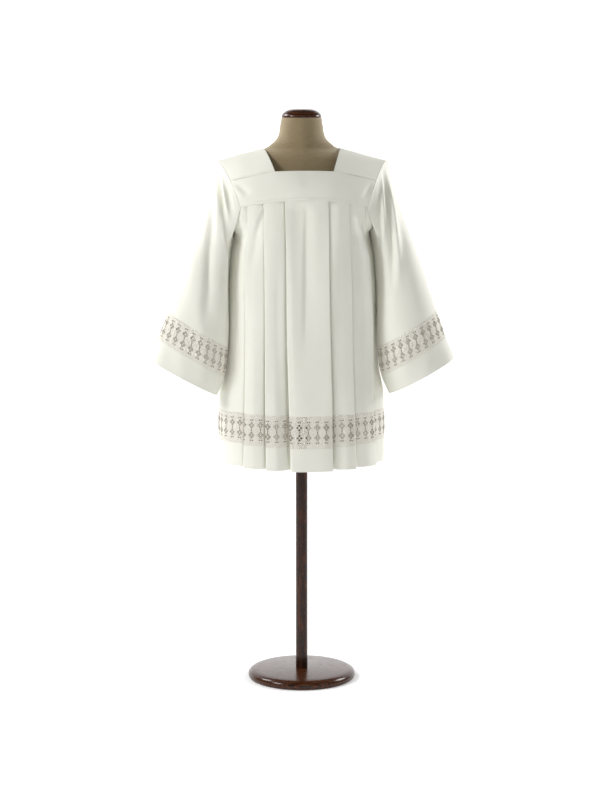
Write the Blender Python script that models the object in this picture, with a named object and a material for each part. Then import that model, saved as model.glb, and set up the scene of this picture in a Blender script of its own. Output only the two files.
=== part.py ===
"""White surplice with lace bands, on a limbless dress form with a wooden stand.

Units are metres, +Z is up and the front faces -Y. The origin is on the floor, under the middle of
the stand. Each piece that a maker cuts and sews is one closed solid, a thin wall, 0.3 mm from the
pieces beside it.
"""
import functools
import math

import bmesh
import bpy
import numpy as np
from mathutils.geometry import delaunay_2d_cdt

# Cloth walls and the gap at a seam
CLOTH = 0.0012
YOKE_CLOTH = 0.0016
SEAM_GAP = 0.0003
FRONT, BACK = -1, 1
LEFT, RIGHT = -1, 1

# Yoke: an arch over the shoulders, from the front seam of the skirt to the back one
CHEST_HALF_DEPTH = 0.145
CHEST_HALF_WIDTH = 0.262
SKIRT_SEAM_HEIGHT = 1.3825
SEAM_DIP = 0.018
SEAM_DIP_AT = 0.17
SEAM_DIP_GONE_AT = 1.20
RIDGE_HEIGHT_AT_NECK = 1.523
RIDGE_SLOPE = 0.264
NECK_AT_RIDGE = 0.1085
NECK_AT_CORNER = 0.081
FRONT_BAND_TURN = 33.5
BACK_BAND_TURN = 140.0
BAND_ROWS, BAND_COLUMNS, SHOULDER_COLUMNS = 3, 16, 4
SHOULDER_TURNS = (33.5, 45, 56, 66, 75, 83, 90, 97, 105, 115, 127, 140)
ARMHOLE_TURN_AND_REACH = ((0, 0.176), (33.5, 0.202), (60, 0.223), (90, 0.243))

# Skirt: outlines at heights, each a superellipse, widest first where the armholes are cut from it
SKIRT = (
    # height, half width, half depth, squareness
    (1.3825, CHEST_HALF_WIDTH, CHEST_HALF_DEPTH, 2.0),
    (1.345, 0.222, 0.146, 2.5),
    (1.305, 0.190, 0.147, 3.0),
    (1.23, 0.197, 0.150, 2.8),
    (1.15, 0.206, 0.152, 2.6),
    (1.05, 0.2095, 0.156, 2.5),
    (0.96, 0.213, 0.161, 2.45),
    (0.90, 0.2185, 0.164, 2.4),
    (0.84, 0.2325, 0.168, 2.35),
    (0.788, 0.2355, 0.171, 2.3),
    (0.63, 0.2375, 0.176, 2.3),
)
UNDERARM_HEIGHT = 1.305
LACE_TOP, LACE_BOTTOM, HEM_HEIGHT = 0.788, 0.697, 0.632
ARMHOLE_ROWS = 4
DIRECTION_STEP = 0.003
SKIRT_HEIGHTS = (1.26, 1.21, 1.10, 0.98, 0.88)

# Knife pleats, from the middle outwards: where each fold edge is at the yoke and at the hem
PLEATS = ((0.060, 0.061), (0.119, 0.128), (0.163, 0.192))
UNDERLAY = 0.022
UNDERLAY_CLEARANCE = 0.003
MIDDLE_COLUMNS = 5
PLEAT_GAP_AT_YOKE, PLEAT_GAP_AT_HEM = 0.0020, 0.0052
PLEAT_SHIFT_AT_YOKE, PLEAT_SHIFT_AT_HEM = 0.005, 0.017

# From the last pleat to the panel's edge: share of the way, and how deep, in pleat gaps
SIDE_PANEL = ((0.35, 1.2), (0.70, 0.3), (1.00, 0.0))

# Sleeve: outer edge and inner edge seen from the front, half the depth, and how far it hangs
# forward of the side seam, from armhole to cuff
SLEEVE = (
    # share of the length, outer x, outer z, inner x, inner z, half depth, forward
    (0.00, 0.2430, 1.487, 0.1900, 1.290, 0.107, 0.000),
    (0.12, 0.2530, 1.430, 0.1990, 1.240, 0.100, 0.002),
    (0.30, 0.2800, 1.345, 0.2060, 1.165, 0.088, 0.018),
    (0.50, 0.3210, 1.235, 0.2080, 1.085, 0.078, 0.040),
    (0.70, 0.3580, 1.130, 0.2085, 1.020, 0.073, 0.051),
    (0.80, 0.3770, 1.072, 0.2115, 0.972, 0.071, 0.053),
    (0.90, 0.4050, 0.996, 0.2210, 0.888, 0.069, 0.053),
    (1.00, 0.4300, 0.937, 0.2420, 0.835, 0.068, 0.053),
)
SLEEVE_LACE_TOP, SLEEVE_LACE_BOTTOM = 0.80, 0.90
SLEEVE_LACE_LENGTH = 0.087
SLEEVE_LACE_SPLIT_ANGLE = 0.004
SLEEVE_ROWS = (0.0, 0.06, 0.14, 0.24, 0.36, 0.50, 0.65, 0.7994)
CUFF_SIDES = 28
ARMHOLE_BLEND = 0.22

# Sleeve folds: where each runs, across from the outer edge (0) to the inner edge (1); a depth
# below zero stands out
SLEEVE_FOLDS = (
    # side, face, along from, along to, across from, across to, spread, depth
    (LEFT, FRONT, 0.12, 0.80, 0.22, 0.86, 0.13, 0.011),
    (LEFT, FRONT, 0.14, 0.76, 0.46, 1.00, 0.10, -0.005),
    (LEFT, FRONT, 0.03, 0.26, 0.34, 0.95, 0.10, 0.009),
    (LEFT, BACK, 0.10, 0.78, 0.30, 0.75, 0.14, 0.010),
    (LEFT, BACK, 0.12, 0.46, 0.70, 0.90, 0.10, 0.008),
    (RIGHT, FRONT, 0.04, 0.66, 0.12, 0.62, 0.08, -0.006),
    (RIGHT, FRONT, 0.06, 0.62, 0.30, 0.78, 0.09, 0.010),
    (RIGHT, FRONT, 0.06, 0.32, 0.62, 0.98, 0.10, 0.008),
    (RIGHT, BACK, 0.10, 0.80, 0.25, 0.70, 0.14, 0.010),
    (RIGHT, BACK, 0.13, 0.44, 0.68, 0.92, 0.10, 0.008),
)

# Lace: one lozenge hole for each diamond of the pattern, in two rows
LOZENGE_WIDTH, LOZENGE_HEIGHT = 0.014, 0.017
LACE_ROW_SPACING = 0.030
SLEEVE_LACE_COLUMNS = 11
LOZENGE_MARGIN = 0.004

# Dress form: level rings, from its flat underside to the top of the neck
CAP_BOTTOM = 1.608
FORM_CLEARANCE = 0.0006
FORM_TORSO = (
    # height, half width, half depth, squareness
    (0.84, 0.14, 0.096, 2.3),
    (0.848, 0.15, 0.106, 2.3),
    (0.9, 0.158, 0.114, 2.3),
    (0.97, 0.161, 0.118, 2.3),
    (1.1, 0.146, 0.106, 2.2),
    (1.22, 0.156, 0.113, 2.2),
    (1.31, 0.166, 0.117, 2.2),
    (1.37, 0.173, 0.112, 2.1),
    (1.42, 0.184, 0.101, 2),
    (1.455, 0.196, 0.091, 1.8),
    (1.48, 0.2, 0.083, 1.6),
)
FORM_SHOULDER_REACHES = (0.190, 0.165, 0.140, 0.120, 0.103)
FORM_SHOULDER_DEPTH_AT_NECK = 0.065
FORM_SHOULDER_DEPTH_GROWTH = 0.13
FORM_SHOULDER_SQUARENESS = 1.5
FORM_NECK = (
    (1.534, 0.085, 0.064, 1.75),
    (1.548, 0.07, 0.063, 1.9),
    (1.564, 0.063, 0.062, 2),
    (1.585, 0.06, 0.06, 2),
    (CAP_BOTTOM - SEAM_GAP, 0.056, 0.056, 2),
)
FORM_SIDES = 32

# Neck cap and stand: turned profiles, radius and height
CAP_PROFILE = (
    (0.0555, CAP_BOTTOM), (0.0562, 1.6110), (0.0545, 1.6160), (0.0500, 1.6215), (0.0430, 1.6265),
    (0.0350, 1.6298), (0.0310, 1.6310),
)
POLE_RADIUS = 0.017
BASE_TOP = 0.026
BASE_PROFILE = (
    (0.1500, 0.0000), (0.1530, 0.0030), (0.1545, 0.0090), (0.1535, 0.0150), (0.1495, 0.0200),
    (0.1420, 0.0238), (0.1300, BASE_TOP),
)
CAP_SIDES, BASE_SIDES, POLE_SIDES = 32, 48, 24

IVORY = (0.88, 0.87, 0.81, 1)
LACE_CREAM = (0.83, 0.78, 0.70, 1)
LINEN = (0.62, 0.52, 0.36, 1)
WOOD = (0.16, 0.045, 0.018, 1)


def curve_through(rows):
    """A smooth function through a table's rows: the first column is its key."""
    rows = np.array(sorted(rows), float)
    keys, values = rows[:, 0], rows[:, 1:]
    slopes = np.gradient(values, keys, axis=0)

    def at(key):
        key = min(max(key, keys[0]), keys[-1])
        i = min(int(np.searchsorted(keys, key, side="right")) - 1, len(keys) - 2)
        span = keys[i + 1] - keys[i]
        t = (key - keys[i]) / span
        rise = t * t * (3 - 2 * t)
        start_slope = slopes[i] * span * t * (1 - t) ** 2
        end_slope = slopes[i + 1] * span * t * t * (t - 1)
        return values[i] * (1 - rise) + values[i + 1] * rise + start_slope + end_slope

    return at


skirt_at = curve_through(SKIRT)
sleeve_at = curve_through(SLEEVE)
armhole_reach_at = curve_through(ARMHOLE_TURN_AND_REACH)


def smooth_step(value):
    value = min(max(value, 0.0), 1.0)
    return value * value * (3 - 2 * value)


def unit(vector):
    return vector / np.linalg.norm(vector)


# Surfaces

def ridge_height(x):
    """Height of the shoulder's ridge, level across the neck's opening."""
    reach = max(abs(x), NECK_AT_CORNER)
    return RIDGE_HEIGHT_AT_NECK - RIDGE_SLOPE * (reach - NECK_AT_RIDGE)


def seam_dip(x):
    return SEAM_DIP * (x / SEAM_DIP_AT) ** 2


def arch_point(x, turn):
    """A point on the yoke's outside: turn is 0 at the front seam, 90 on the ridge, 180 behind."""
    depth = CHEST_HALF_DEPTH * math.sqrt(1 - (x / CHEST_HALF_WIDTH) ** 2)
    foot = SKIRT_SEAM_HEIGHT - seam_dip(x)
    angle = math.radians(turn)
    rise = (ridge_height(x) - foot) * math.sin(angle)
    return np.array((x, -depth * math.cos(angle), foot + rise))


def yoke_point(x, turn, inward=0.0):
    step = 0.001
    across = arch_point(x + step, turn) - arch_point(x - step, turn)
    over = arch_point(x, turn + 1) - arch_point(x, turn - 1)
    return arch_point(x, turn) - inward * unit(np.cross(across, over))


def armhole_reach(turn):
    """How far out the yoke's edge is."""
    return armhole_reach_at(turn if turn < 90 else 180 - turn)[0]


def neck_reach(turn):
    """How far out the neckline's side is."""
    span = FRONT_BAND_TURN if turn < 90 else 180 - BACK_BAND_TURN
    way = ((turn if turn < 90 else 180 - turn) - span) / (90 - span)
    bend = 1 - (1 - way) ** 1.5
    return NECK_AT_CORNER + (NECK_AT_RIDGE - NECK_AT_CORNER) * bend


@functools.lru_cache(maxsize=None)
def skirt_quarter(height):
    """The outline from the middle of the front to the side: across, depth, length of cloth."""
    half_width, half_depth, squareness = skirt_at(height)
    turn = np.linspace(math.pi / 2, 0, 241)
    across = half_width * np.cos(turn) ** (2 / squareness)
    depth = half_depth * np.sin(turn) ** (2 / squareness)
    steps = np.hypot(np.diff(across), np.diff(depth))
    return across, depth, np.concatenate(((0.0,), np.cumsum(steps)))


def skirt_half_length(height):
    return skirt_quarter(height)[2][-1]


def skirt_length_to(height, x):
    across, _, length = skirt_quarter(height)
    return math.copysign(np.interp(abs(x), across, length), x)


def skirt_point(face, height, along, inward):
    """A point on the skirt: along is the length of cloth from the middle of that face."""
    across, depth, length = skirt_quarter(height)
    reach = min(abs(along), length[-1])
    x = np.interp(reach, length, across)
    y = np.interp(reach, length, depth)
    near, far = max(reach - DIRECTION_STEP, 0.0), min(reach + DIRECTION_STEP, length[-1])
    run = np.array((
        np.interp(far, length, across) - np.interp(near, length, across),
        np.interp(far, length, depth) - np.interp(near, length, depth),
    ))
    run = unit(run)
    x += run[1] * inward
    y -= run[0] * inward
    side = math.copysign(1.0, along)
    fade = smooth_step((height - SEAM_DIP_GONE_AT) / (SKIRT_SEAM_HEIGHT - SEAM_DIP_GONE_AT))
    z = height - seam_dip(x) * fade
    return np.array((side * x, face * y, z))


def armhole_height(row):
    """Heights of the armhole's rows, from the yoke's corner (0) to the underarm (ARMHOLE_ROWS)."""
    turn = math.radians(90 * row / ARMHOLE_ROWS)
    return SKIRT_SEAM_HEIGHT + (UNDERARM_HEIGHT - SKIRT_SEAM_HEIGHT) * math.sin(turn)


def skirt_edge(height):
    """Length of cloth from the middle to the panel's edge: the armhole, or the side seam."""
    side_seam = skirt_half_length(height)
    drop = (SKIRT_SEAM_HEIGHT - height) / (SKIRT_SEAM_HEIGHT - UNDERARM_HEIGHT)
    if drop >= 1:
        return side_seam
    corner = skirt_length_to(height, armhole_reach(0))
    return corner + (side_seam - corner) * (1 - math.sqrt(1 - max(drop, 0.0) ** 2))


def armhole(side):
    """Points round an armhole: from the ridge down the front, under the arm and up the back."""
    front_turns = [turn for turn in SHOULDER_TURNS if turn <= 90][::-1]
    front_turns += [FRONT_BAND_TURN * (1 - row / BAND_ROWS) for row in range(1, BAND_ROWS + 1)]
    back_turns = [180 - (180 - BACK_BAND_TURN) * row / BAND_ROWS for row in range(BAND_ROWS)]
    back_turns += [turn for turn in SHOULDER_TURNS if turn > 90][::-1]
    points = [yoke_point(side * armhole_reach(turn), turn) for turn in front_turns]
    for row in range(1, ARMHOLE_ROWS + 1):
        height = armhole_height(row)
        points.append(skirt_point(FRONT, height, side * skirt_edge(height), 0.0))
    for row in range(ARMHOLE_ROWS - 1, 0, -1):
        height = armhole_height(row)
        points.append(skirt_point(BACK, height, side * skirt_edge(height), 0.0))
    points += [yoke_point(side * armhole_reach(turn), turn) for turn in back_turns]
    return points


def sleeve_fold_depth(side, face, along, across):
    """How far the sleeve's folds push its cloth in."""
    depth = 0.0
    for fold_side, fold_face, start, end, across_start, across_end, spread, fold in SLEEVE_FOLDS:
        way = (along - start) / (end - start)
        if fold_side == side and fold_face == face and 0 < way < 1:
            middle = across_start + (across_end - across_start) * way
            swell = math.sin(math.pi * way) ** 0.7
            depth += fold * swell * math.exp(-(((across - middle) / spread) ** 2))
    return depth


def sleeve_oval(side, along, angle, inward=0.0):
    """A point on a slanted oval of the sleeve: angle is 0 at its outer edge, pi at its inner one."""
    outer_x, outer_z, inner_x, inner_z, half_depth, forward = sleeve_at(along)
    half_x, half_z = (outer_x - inner_x) / 2, (outer_z - inner_z) / 2
    half_width = math.hypot(half_x, half_z)
    across = (1 - math.cos(angle)) / 2
    face = FRONT if math.sin(angle) > 0 else BACK
    inward = inward + sleeve_fold_depth(side, face, along, across) * math.sin(angle) ** 2
    normal = unit(np.array((math.cos(angle) / half_width, math.sin(angle) / half_depth)))
    wide = half_width * math.cos(angle) - normal[0] * inward
    deep = half_depth * math.sin(angle) - normal[1] * inward
    x = inner_x + half_x + wide * half_x / half_width
    z = inner_z + half_z + wide * half_z / half_width
    return np.array((side * x, -deep - forward, z))


def sleeve_angles(side):
    """The oval's angle of each armhole point."""
    outer_x, outer_z, inner_x, inner_z, half_depth, _ = sleeve_at(0.0)
    middle = np.array(((outer_x + inner_x) / 2, (outer_z + inner_z) / 2))
    outwards = np.array((outer_x, outer_z)) - middle
    half_width = np.linalg.norm(outwards)
    angles = []
    for x, y, z in armhole(side):
        wide = np.dot((abs(x) - middle[0], z - middle[1]), outwards) / half_width ** 2
        angles.append(math.atan2(-y / half_depth, wide) % (2 * math.pi))
    return angles


def sleeve_ring(side, along):
    """Points round the sleeve's outside: just past the armhole at 0, ovals further down."""
    blend = 1 - smooth_step(along / ARMHOLE_BLEND)
    clear_of_panels = np.array((side * (CLOTH + SEAM_GAP), 0, 0))
    ring = []
    for angle, hole in zip(sleeve_angles(side), armhole(side)):
        oval = sleeve_oval(side, along, angle)
        start = sleeve_oval(side, 0.0, angle)
        ring.append(oval + blend * (hole + clear_of_panels - start))
    return ring


def inner_layer(rings, side, thickness):
    """The inside of a tube given by rings of points on its outside."""
    grid = np.array(rings)
    down = np.gradient(grid, axis=0)
    around = np.roll(grid, -1, axis=1) - np.roll(grid, 1, axis=1)
    normals = np.cross(around, down) * side
    normals /= np.linalg.norm(normals, axis=2)[..., None]
    return grid - normals * thickness


# Pleats

def pleat_path(height):
    """The cloth's path across one face at a height, as (length along the outline, depth in it)."""
    way = (SKIRT_SEAM_HEIGHT - height) / (SKIRT_SEAM_HEIGHT - HEM_HEIGHT)
    gap = PLEAT_GAP_AT_YOKE + (PLEAT_GAP_AT_HEM - PLEAT_GAP_AT_YOKE) * way
    shift = PLEAT_SHIFT_AT_YOKE + (PLEAT_SHIFT_AT_HEM - PLEAT_SHIFT_AT_YOKE) * way
    turn = gap / 2
    halves = []
    for side in (LEFT, RIGHT):
        folds = [
            side * skirt_length_to(height, side * (at_yoke + (at_hem - at_yoke) * way) + shift)
            for at_yoke, at_hem in PLEATS
        ]
        edge = skirt_edge(height) - SEAM_GAP / 2
        path = []
        for number, fold in enumerate(folds):
            if number:
                path.append((fold - UNDERLAY - UNDERLAY_CLEARANCE, 0.0))
            path += [(fold - turn, 0.0), (fold, turn), (fold - turn, gap)]
            inner = fold - UNDERLAY
            path += [(inner + turn, gap), (inner, gap + turn), (inner + turn, 2 * gap)]
            path.append((fold + turn, 2 * gap))
        last = folds[-1] + turn
        path += [(last + (edge - last) * share, gaps * gap) for share, gaps in SIDE_PANEL]
        halves.append([(side * along, depth) for along, depth in path])
    left_fold, right_fold = halves[0][0][0], halves[1][0][0]
    width = (right_fold - left_fold) / MIDDLE_COLUMNS
    middle = [(left_fold + width * column, 0.0) for column in range(1, MIDDLE_COLUMNS)]
    return halves[0][::-1] + middle + halves[1]


def wall_sides(path):
    """Points half the cloth's thickness to each side of a path."""
    path = np.array(path)
    runs = np.diff(path, axis=0)
    runs /= np.linalg.norm(runs, axis=1)[:, None]
    before = np.vstack((runs[:1], runs))
    after = np.vstack((runs, runs[-1:]))
    bisector = before + after
    bisector /= np.linalg.norm(bisector, axis=1)[:, None]
    spread = CLOTH / 2 / np.sum(bisector * after, axis=1)
    across = np.column_stack((bisector[:, 1], -bisector[:, 0])) * spread[:, None]
    return path + across, path - across


def skirt_row(face, height):
    """Outer and inner points of a face at a height."""
    outer, inner = wall_sides(pleat_path(height))
    half = CLOTH / 2
    outside = [skirt_point(face, height, along, depth + half) for along, depth in outer]
    inside = [skirt_point(face, height, along, depth + half) for along, depth in inner]
    return outside, inside


# Solids

def add_object(name, mesh_data, material, smooth=40):
    mesh = bpy.data.meshes.new(name)
    bm = bmesh.new()
    points, faces = mesh_data
    corners = [bm.verts.new(point) for point in points]
    for face in faces:
        bm.faces.new([corners[i] for i in face])
    bmesh.ops.recalc_face_normals(bm, faces=bm.faces)
    bm.to_mesh(mesh)
    bm.free()
    mesh.shade_smooth()
    mesh.set_sharp_from_angle(angle=math.radians(smooth))
    mesh.materials.append(material)
    obj = bpy.data.objects.new(name, mesh)
    bpy.context.collection.objects.link(obj)
    return obj


def make_material(name, colour, roughness):
    material = bpy.data.materials.new(name)
    material.use_nodes = True
    shader = material.node_tree.nodes["Principled BSDF"]
    shader.inputs["Base Color"].default_value = colour
    shader.inputs["Roughness"].default_value = roughness
    shader.inputs["Metallic"].default_value = 0
    return material


def wall_between(outer, inner, closed=False):
    """A closed solid between two grids of points, open tubes included.

    Both layers are split along the outer one's shorter diagonals, so a twisted wall keeps its
    thickness.
    """
    rows, columns = len(outer), len(outer[0])
    points = [point for row in outer for point in row] + [point for row in inner for point in row]
    offset = rows * columns
    faces = []
    spans = columns if closed else columns - 1
    for row in range(rows - 1):
        for column in range(spans):
            right = (column + 1) % columns
            a, b = row * columns + column, row * columns + right
            c, d = b + columns, a + columns
            if math.dist(points[a], points[c]) < math.dist(points[b], points[d]):
                halves = ((a, b, c), (a, c, d))
            else:
                halves = ((a, b, d), (b, c, d))
            for half in halves:
                faces += [half, tuple(offset + i for i in reversed(half))]
    for row in (0, rows - 1):
        for column in range(spans):
            a, b = row * columns + column, row * columns + (column + 1) % columns
            faces.append((a, b, offset + b, offset + a))
    if not closed:
        for column in (0, columns - 1):
            for row in range(rows - 1):
                a, b = row * columns + column, (row + 1) * columns + column
                faces.append((a, b, offset + b, offset + a))
    return points, faces


def inside_outline(point, outline):
    """Whether a point is inside a convex outline."""
    signs = []
    for start, end in zip(outline, outline[1:] + outline[:1]):
        edge, way = np.subtract(end, start), np.subtract(point, start)
        signs.append(edge[0] * way[1] - edge[1] * way[0] > 0)
    return all(signs) or not any(signs)


def pierced_wall(top, bottom, holes):
    """A wall between two rows of (outer, inner) points, with holes cut through.

    Each hole is an outline of (column, share of the height from the top).
    """
    last = len(top[0]) - 1
    corners = [(column, level) for level in (0, 1) for column in range(last + 1)]
    edges = [(i, i + 1) for i in range(last)] + [(last + 1 + i, last + 2 + i) for i in range(last)]
    edges += [(i, last + 1 + i) for i in range(last + 1)]
    for hole in holes:
        first = len(corners)
        corners += hole
        edges += [(first + i, first + (i + 1) % len(hole)) for i in range(len(hole))]
    flat, _, triangles, *_ = delaunay_2d_cdt(corners, edges, [], 0, 1e-7)
    kept = []
    for triangle in triangles:
        middle = sum((flat[i] for i in triangle), flat[0] * 0) / 3
        if not any(inside_outline(middle, hole) for hole in holes):
            kept.append(tuple(triangle))
    points = []
    for layer in (0, 1):
        for column, level in flat:
            left = min(int(column + 1e-6), last - 1)
            share = column - left
            ends = [row[layer][left] * (1 - share) + row[layer][left + 1] * share for row in (top, bottom)]
            points.append(ends[0] * (1 - level) + ends[1] * level)
    rims = {}
    for triangle in kept:
        for start, end in zip(triangle, triangle[1:] + triangle[:1]):
            if (end, start) in rims:
                del rims[(end, start)]
            else:
                rims[(start, end)] = True
    count = len(flat)
    faces = list(kept)
    faces += [tuple(count + i for i in reversed(triangle)) for triangle in kept]
    faces += [(end, start, count + start, count + end) for start, end in rims]
    return points, faces


def lozenges(centres, widths, height):
    """Two rows of lozenge holes, as outlines of (column, share of the height)."""
    holes = []
    for centre, width in zip(centres, widths):
        half = LOZENGE_WIDTH / 2 / width
        tall = LOZENGE_HEIGHT / 2 / height
        for row in (-0.5, 0.5):
            level = 0.5 + row * LACE_ROW_SPACING / height
            holes.append([
                (centre - half, level), (centre, level - tall),
                (centre + half, level), (centre, level + tall),
            ])
    return holes


def turned(profile, sides):
    """A solid turned round Z from radii and heights, closed flat at both ends."""
    points, faces = [], []
    for radius, height in profile:
        for step in range(sides):
            angle = 2 * math.pi * step / sides
            points.append((radius * math.cos(angle), radius * math.sin(angle), height))
    for row in range(len(profile) - 1):
        for step in range(sides):
            a, b = row * sides + step, row * sides + (step + 1) % sides
            faces.append((a, b, b + sides, a + sides))
    faces.append(tuple(range(sides)))
    faces.append(tuple(range(len(points) - sides, len(points))))
    return points, faces


# Pieces

def build_yoke(cloth):
    front = [FRONT_BAND_TURN * row / BAND_ROWS for row in range(BAND_ROWS + 1)]
    back = [180 - (180 - BACK_BAND_TURN) * row / BAND_ROWS for row in range(BAND_ROWS + 1)]
    for name, turns in (("yoke_front", front), ("yoke_back", back)):
        layers = []
        for inward in (0.0, YOKE_CLOTH):
            grid = []
            for turn in turns:
                reach = armhole_reach(turn)
                share = [column * 2 / BAND_COLUMNS - 1 for column in range(BAND_COLUMNS + 1)]
                grid.append([yoke_point(reach * s, turn, inward) for s in share])
            layers.append(grid)
        add_object(name, wall_between(*layers), cloth)
    trim = math.degrees(SEAM_GAP / CHEST_HALF_DEPTH)
    turns = (FRONT_BAND_TURN + trim,) + SHOULDER_TURNS[1:-1] + (BACK_BAND_TURN - trim,)
    for name, side in (("shoulder_left", LEFT), ("shoulder_right", RIGHT)):
        layers = []
        for inward in (0.0, YOKE_CLOTH):
            grid = []
            for turn in turns:
                inner, outer = neck_reach(turn), armhole_reach(turn)
                width = (outer - inner) / SHOULDER_COLUMNS
                steps = [inner + width * column for column in range(SHOULDER_COLUMNS + 1)]
                grid.append([yoke_point(side * x, turn, inward) for x in steps])
            layers.append(grid)
        add_object(name, wall_between(*layers), cloth)


def build_skirt(cloth, lace):
    armhole_heights = [armhole_height(row) for row in range(ARMHOLE_ROWS + 1)]
    heights = [armhole_heights[0] - SEAM_GAP] + armhole_heights[1:] + list(SKIRT_HEIGHTS)
    heights.append(LACE_TOP + SEAM_GAP / 2)
    for name, face in (("front", FRONT), ("back", BACK)):
        rows = [skirt_row(face, height) for height in heights]
        body = wall_between([row[0] for row in rows], [row[1] for row in rows])
        add_object(name + "_body", body, cloth)
        top = skirt_row(face, LACE_TOP - SEAM_GAP / 2)
        bottom = skirt_row(face, LACE_BOTTOM + SEAM_GAP / 2)
        holes = skirt_lace_holes()
        add_object(name + "_lace", pierced_wall(top, bottom, holes), lace)
        rows = [skirt_row(face, height) for height in (LACE_BOTTOM - SEAM_GAP / 2, HEM_HEIGHT)]
        hem = wall_between([row[0] for row in rows], [row[1] for row in rows])
        add_object(name + "_hem", hem, cloth)


def skirt_lace_holes():
    """Holes in the cloth that shows, one column to each stretch that no fold lies over."""
    path = pleat_path((LACE_TOP + LACE_BOTTOM) / 2)
    hidden_depth = PLEAT_GAP_AT_HEM * 1.5
    centres, widths = [], []
    for number, (start, end) in enumerate(zip(path, path[1:])):
        runs_on = end[0] > start[0]
        on_show = min(start[1], end[1]) < hidden_depth
        width = math.dist(start, end)
        if runs_on and on_show and width > LOZENGE_WIDTH + LOZENGE_MARGIN:
            centres.append(number + 0.5)
            widths.append(width)
    return lozenges(centres, widths, LACE_TOP - LACE_BOTTOM)


def build_sleeve(name, side, cloth, lace):
    outside = [sleeve_ring(side, along) for along in SLEEVE_ROWS]
    inside = inner_layer(outside, side, CLOTH)
    add_object("sleeve_" + name, wall_between(outside, inside, closed=True), cloth)

    trim = SEAM_GAP / SLEEVE_LACE_LENGTH * (SLEEVE_LACE_BOTTOM - SLEEVE_LACE_TOP)
    top_at, bottom_at = SLEEVE_LACE_TOP + trim, SLEEVE_LACE_BOTTOM - trim
    for half, face in (("front", 1), ("back", -1)):
        step = (math.pi - 2 * SLEEVE_LACE_SPLIT_ANGLE) / SLEEVE_LACE_COLUMNS
        turns = [SLEEVE_LACE_SPLIT_ANGLE + step * column for column in range(SLEEVE_LACE_COLUMNS + 1)]
        ends = []
        for along in (top_at, bottom_at):
            ends.append([
                [sleeve_oval(side, along, face * turn, inward) for turn in turns]
                for inward in (0.0, CLOTH)
            ])
        spans = [math.dist(a, b) for a, b in zip(ends[0][0], ends[0][0][1:])]
        centres = [column + 0.5 for column in range(SLEEVE_LACE_COLUMNS)]
        holes = lozenges(centres, spans, SLEEVE_LACE_LENGTH)
        add_object(f"sleeve_lace_{name}_{half}", pierced_wall(*ends, holes), lace)

    angles = [2 * math.pi * column / CUFF_SIDES for column in range(CUFF_SIDES)]
    layers = []
    for inward in (0.0, CLOTH):
        grid = []
        for along in (SLEEVE_LACE_BOTTOM + trim, 1.0):
            grid.append([sleeve_oval(side, along, angle, inward) for angle in angles])
        layers.append(grid)
    add_object("cuff_" + name, wall_between(*layers, closed=True), cloth)


def build_dress_form(linen):
    """Rings of the form: its shoulders follow the yoke's ridge, just under the cloth."""
    rings = list(FORM_TORSO)
    for reach in FORM_SHOULDER_REACHES:
        height = ridge_height(reach) - YOKE_CLOTH - FORM_CLEARANCE
        past_neck = reach - FORM_SHOULDER_REACHES[-1]
        depth = FORM_SHOULDER_DEPTH_AT_NECK + past_neck * FORM_SHOULDER_DEPTH_GROWTH
        rings.append((height, reach, depth, FORM_SHOULDER_SQUARENESS))
    rings += FORM_NECK
    points, faces = [], []
    for height, half_width, half_depth, squareness in rings:
        for step in range(FORM_SIDES):
            angle = 2 * math.pi * step / FORM_SIDES
            across = half_width * abs(math.cos(angle)) ** (2 / squareness)
            depth = half_depth * abs(math.sin(angle)) ** (2 / squareness)
            x = math.copysign(across, math.cos(angle))
            y = math.copysign(depth, math.sin(angle))
            points.append((x, y, height))
    for row in range(len(rings) - 1):
        for step in range(FORM_SIDES):
            a, b = row * FORM_SIDES + step, row * FORM_SIDES + (step + 1) % FORM_SIDES
            faces.append((a, b, b + FORM_SIDES, a + FORM_SIDES))
    faces.append(tuple(range(FORM_SIDES)))
    faces.append(tuple(range(len(points) - FORM_SIDES, len(points))))
    add_object("dress_form", (points, faces), linen)


def build_stand(wood):
    add_object("neck_cap", turned(CAP_PROFILE, CAP_SIDES), wood)
    add_object("stand_base", turned(BASE_PROFILE, BASE_SIDES), wood)
    form_underside = FORM_TORSO[0][0]
    pole = ((POLE_RADIUS, BASE_TOP + SEAM_GAP), (POLE_RADIUS, form_underside - SEAM_GAP))
    add_object("stand_pole", turned(pole, POLE_SIDES), wood)


def main():
    for obj in list(bpy.data.objects):
        bpy.data.objects.remove(obj)
    cloth = make_material("ivory_cloth", IVORY, 0.75)
    lace = make_material("cream_lace", LACE_CREAM, 0.85)
    linen = make_material("beige_linen", LINEN, 0.9)
    wood = make_material("red_brown_wood", WOOD, 0.25)
    build_yoke(cloth)
    build_skirt(cloth, lace)
    for name, side in (("left", LEFT), ("right", RIGHT)):
        build_sleeve(name, side, cloth, lace)
    build_dress_form(linen)
    build_stand(wood)


main()
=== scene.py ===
"""Looks for a white surplice with lace bands, on a dress form with a wooden stand.

Units are metres, +Z is up and the front faces -Y. Every cloth piece is a thin shell on the form of
its CAD solid, with rounder pleats, soft creases, seams and stitches.
"""
import functools
import math
import random

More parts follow.
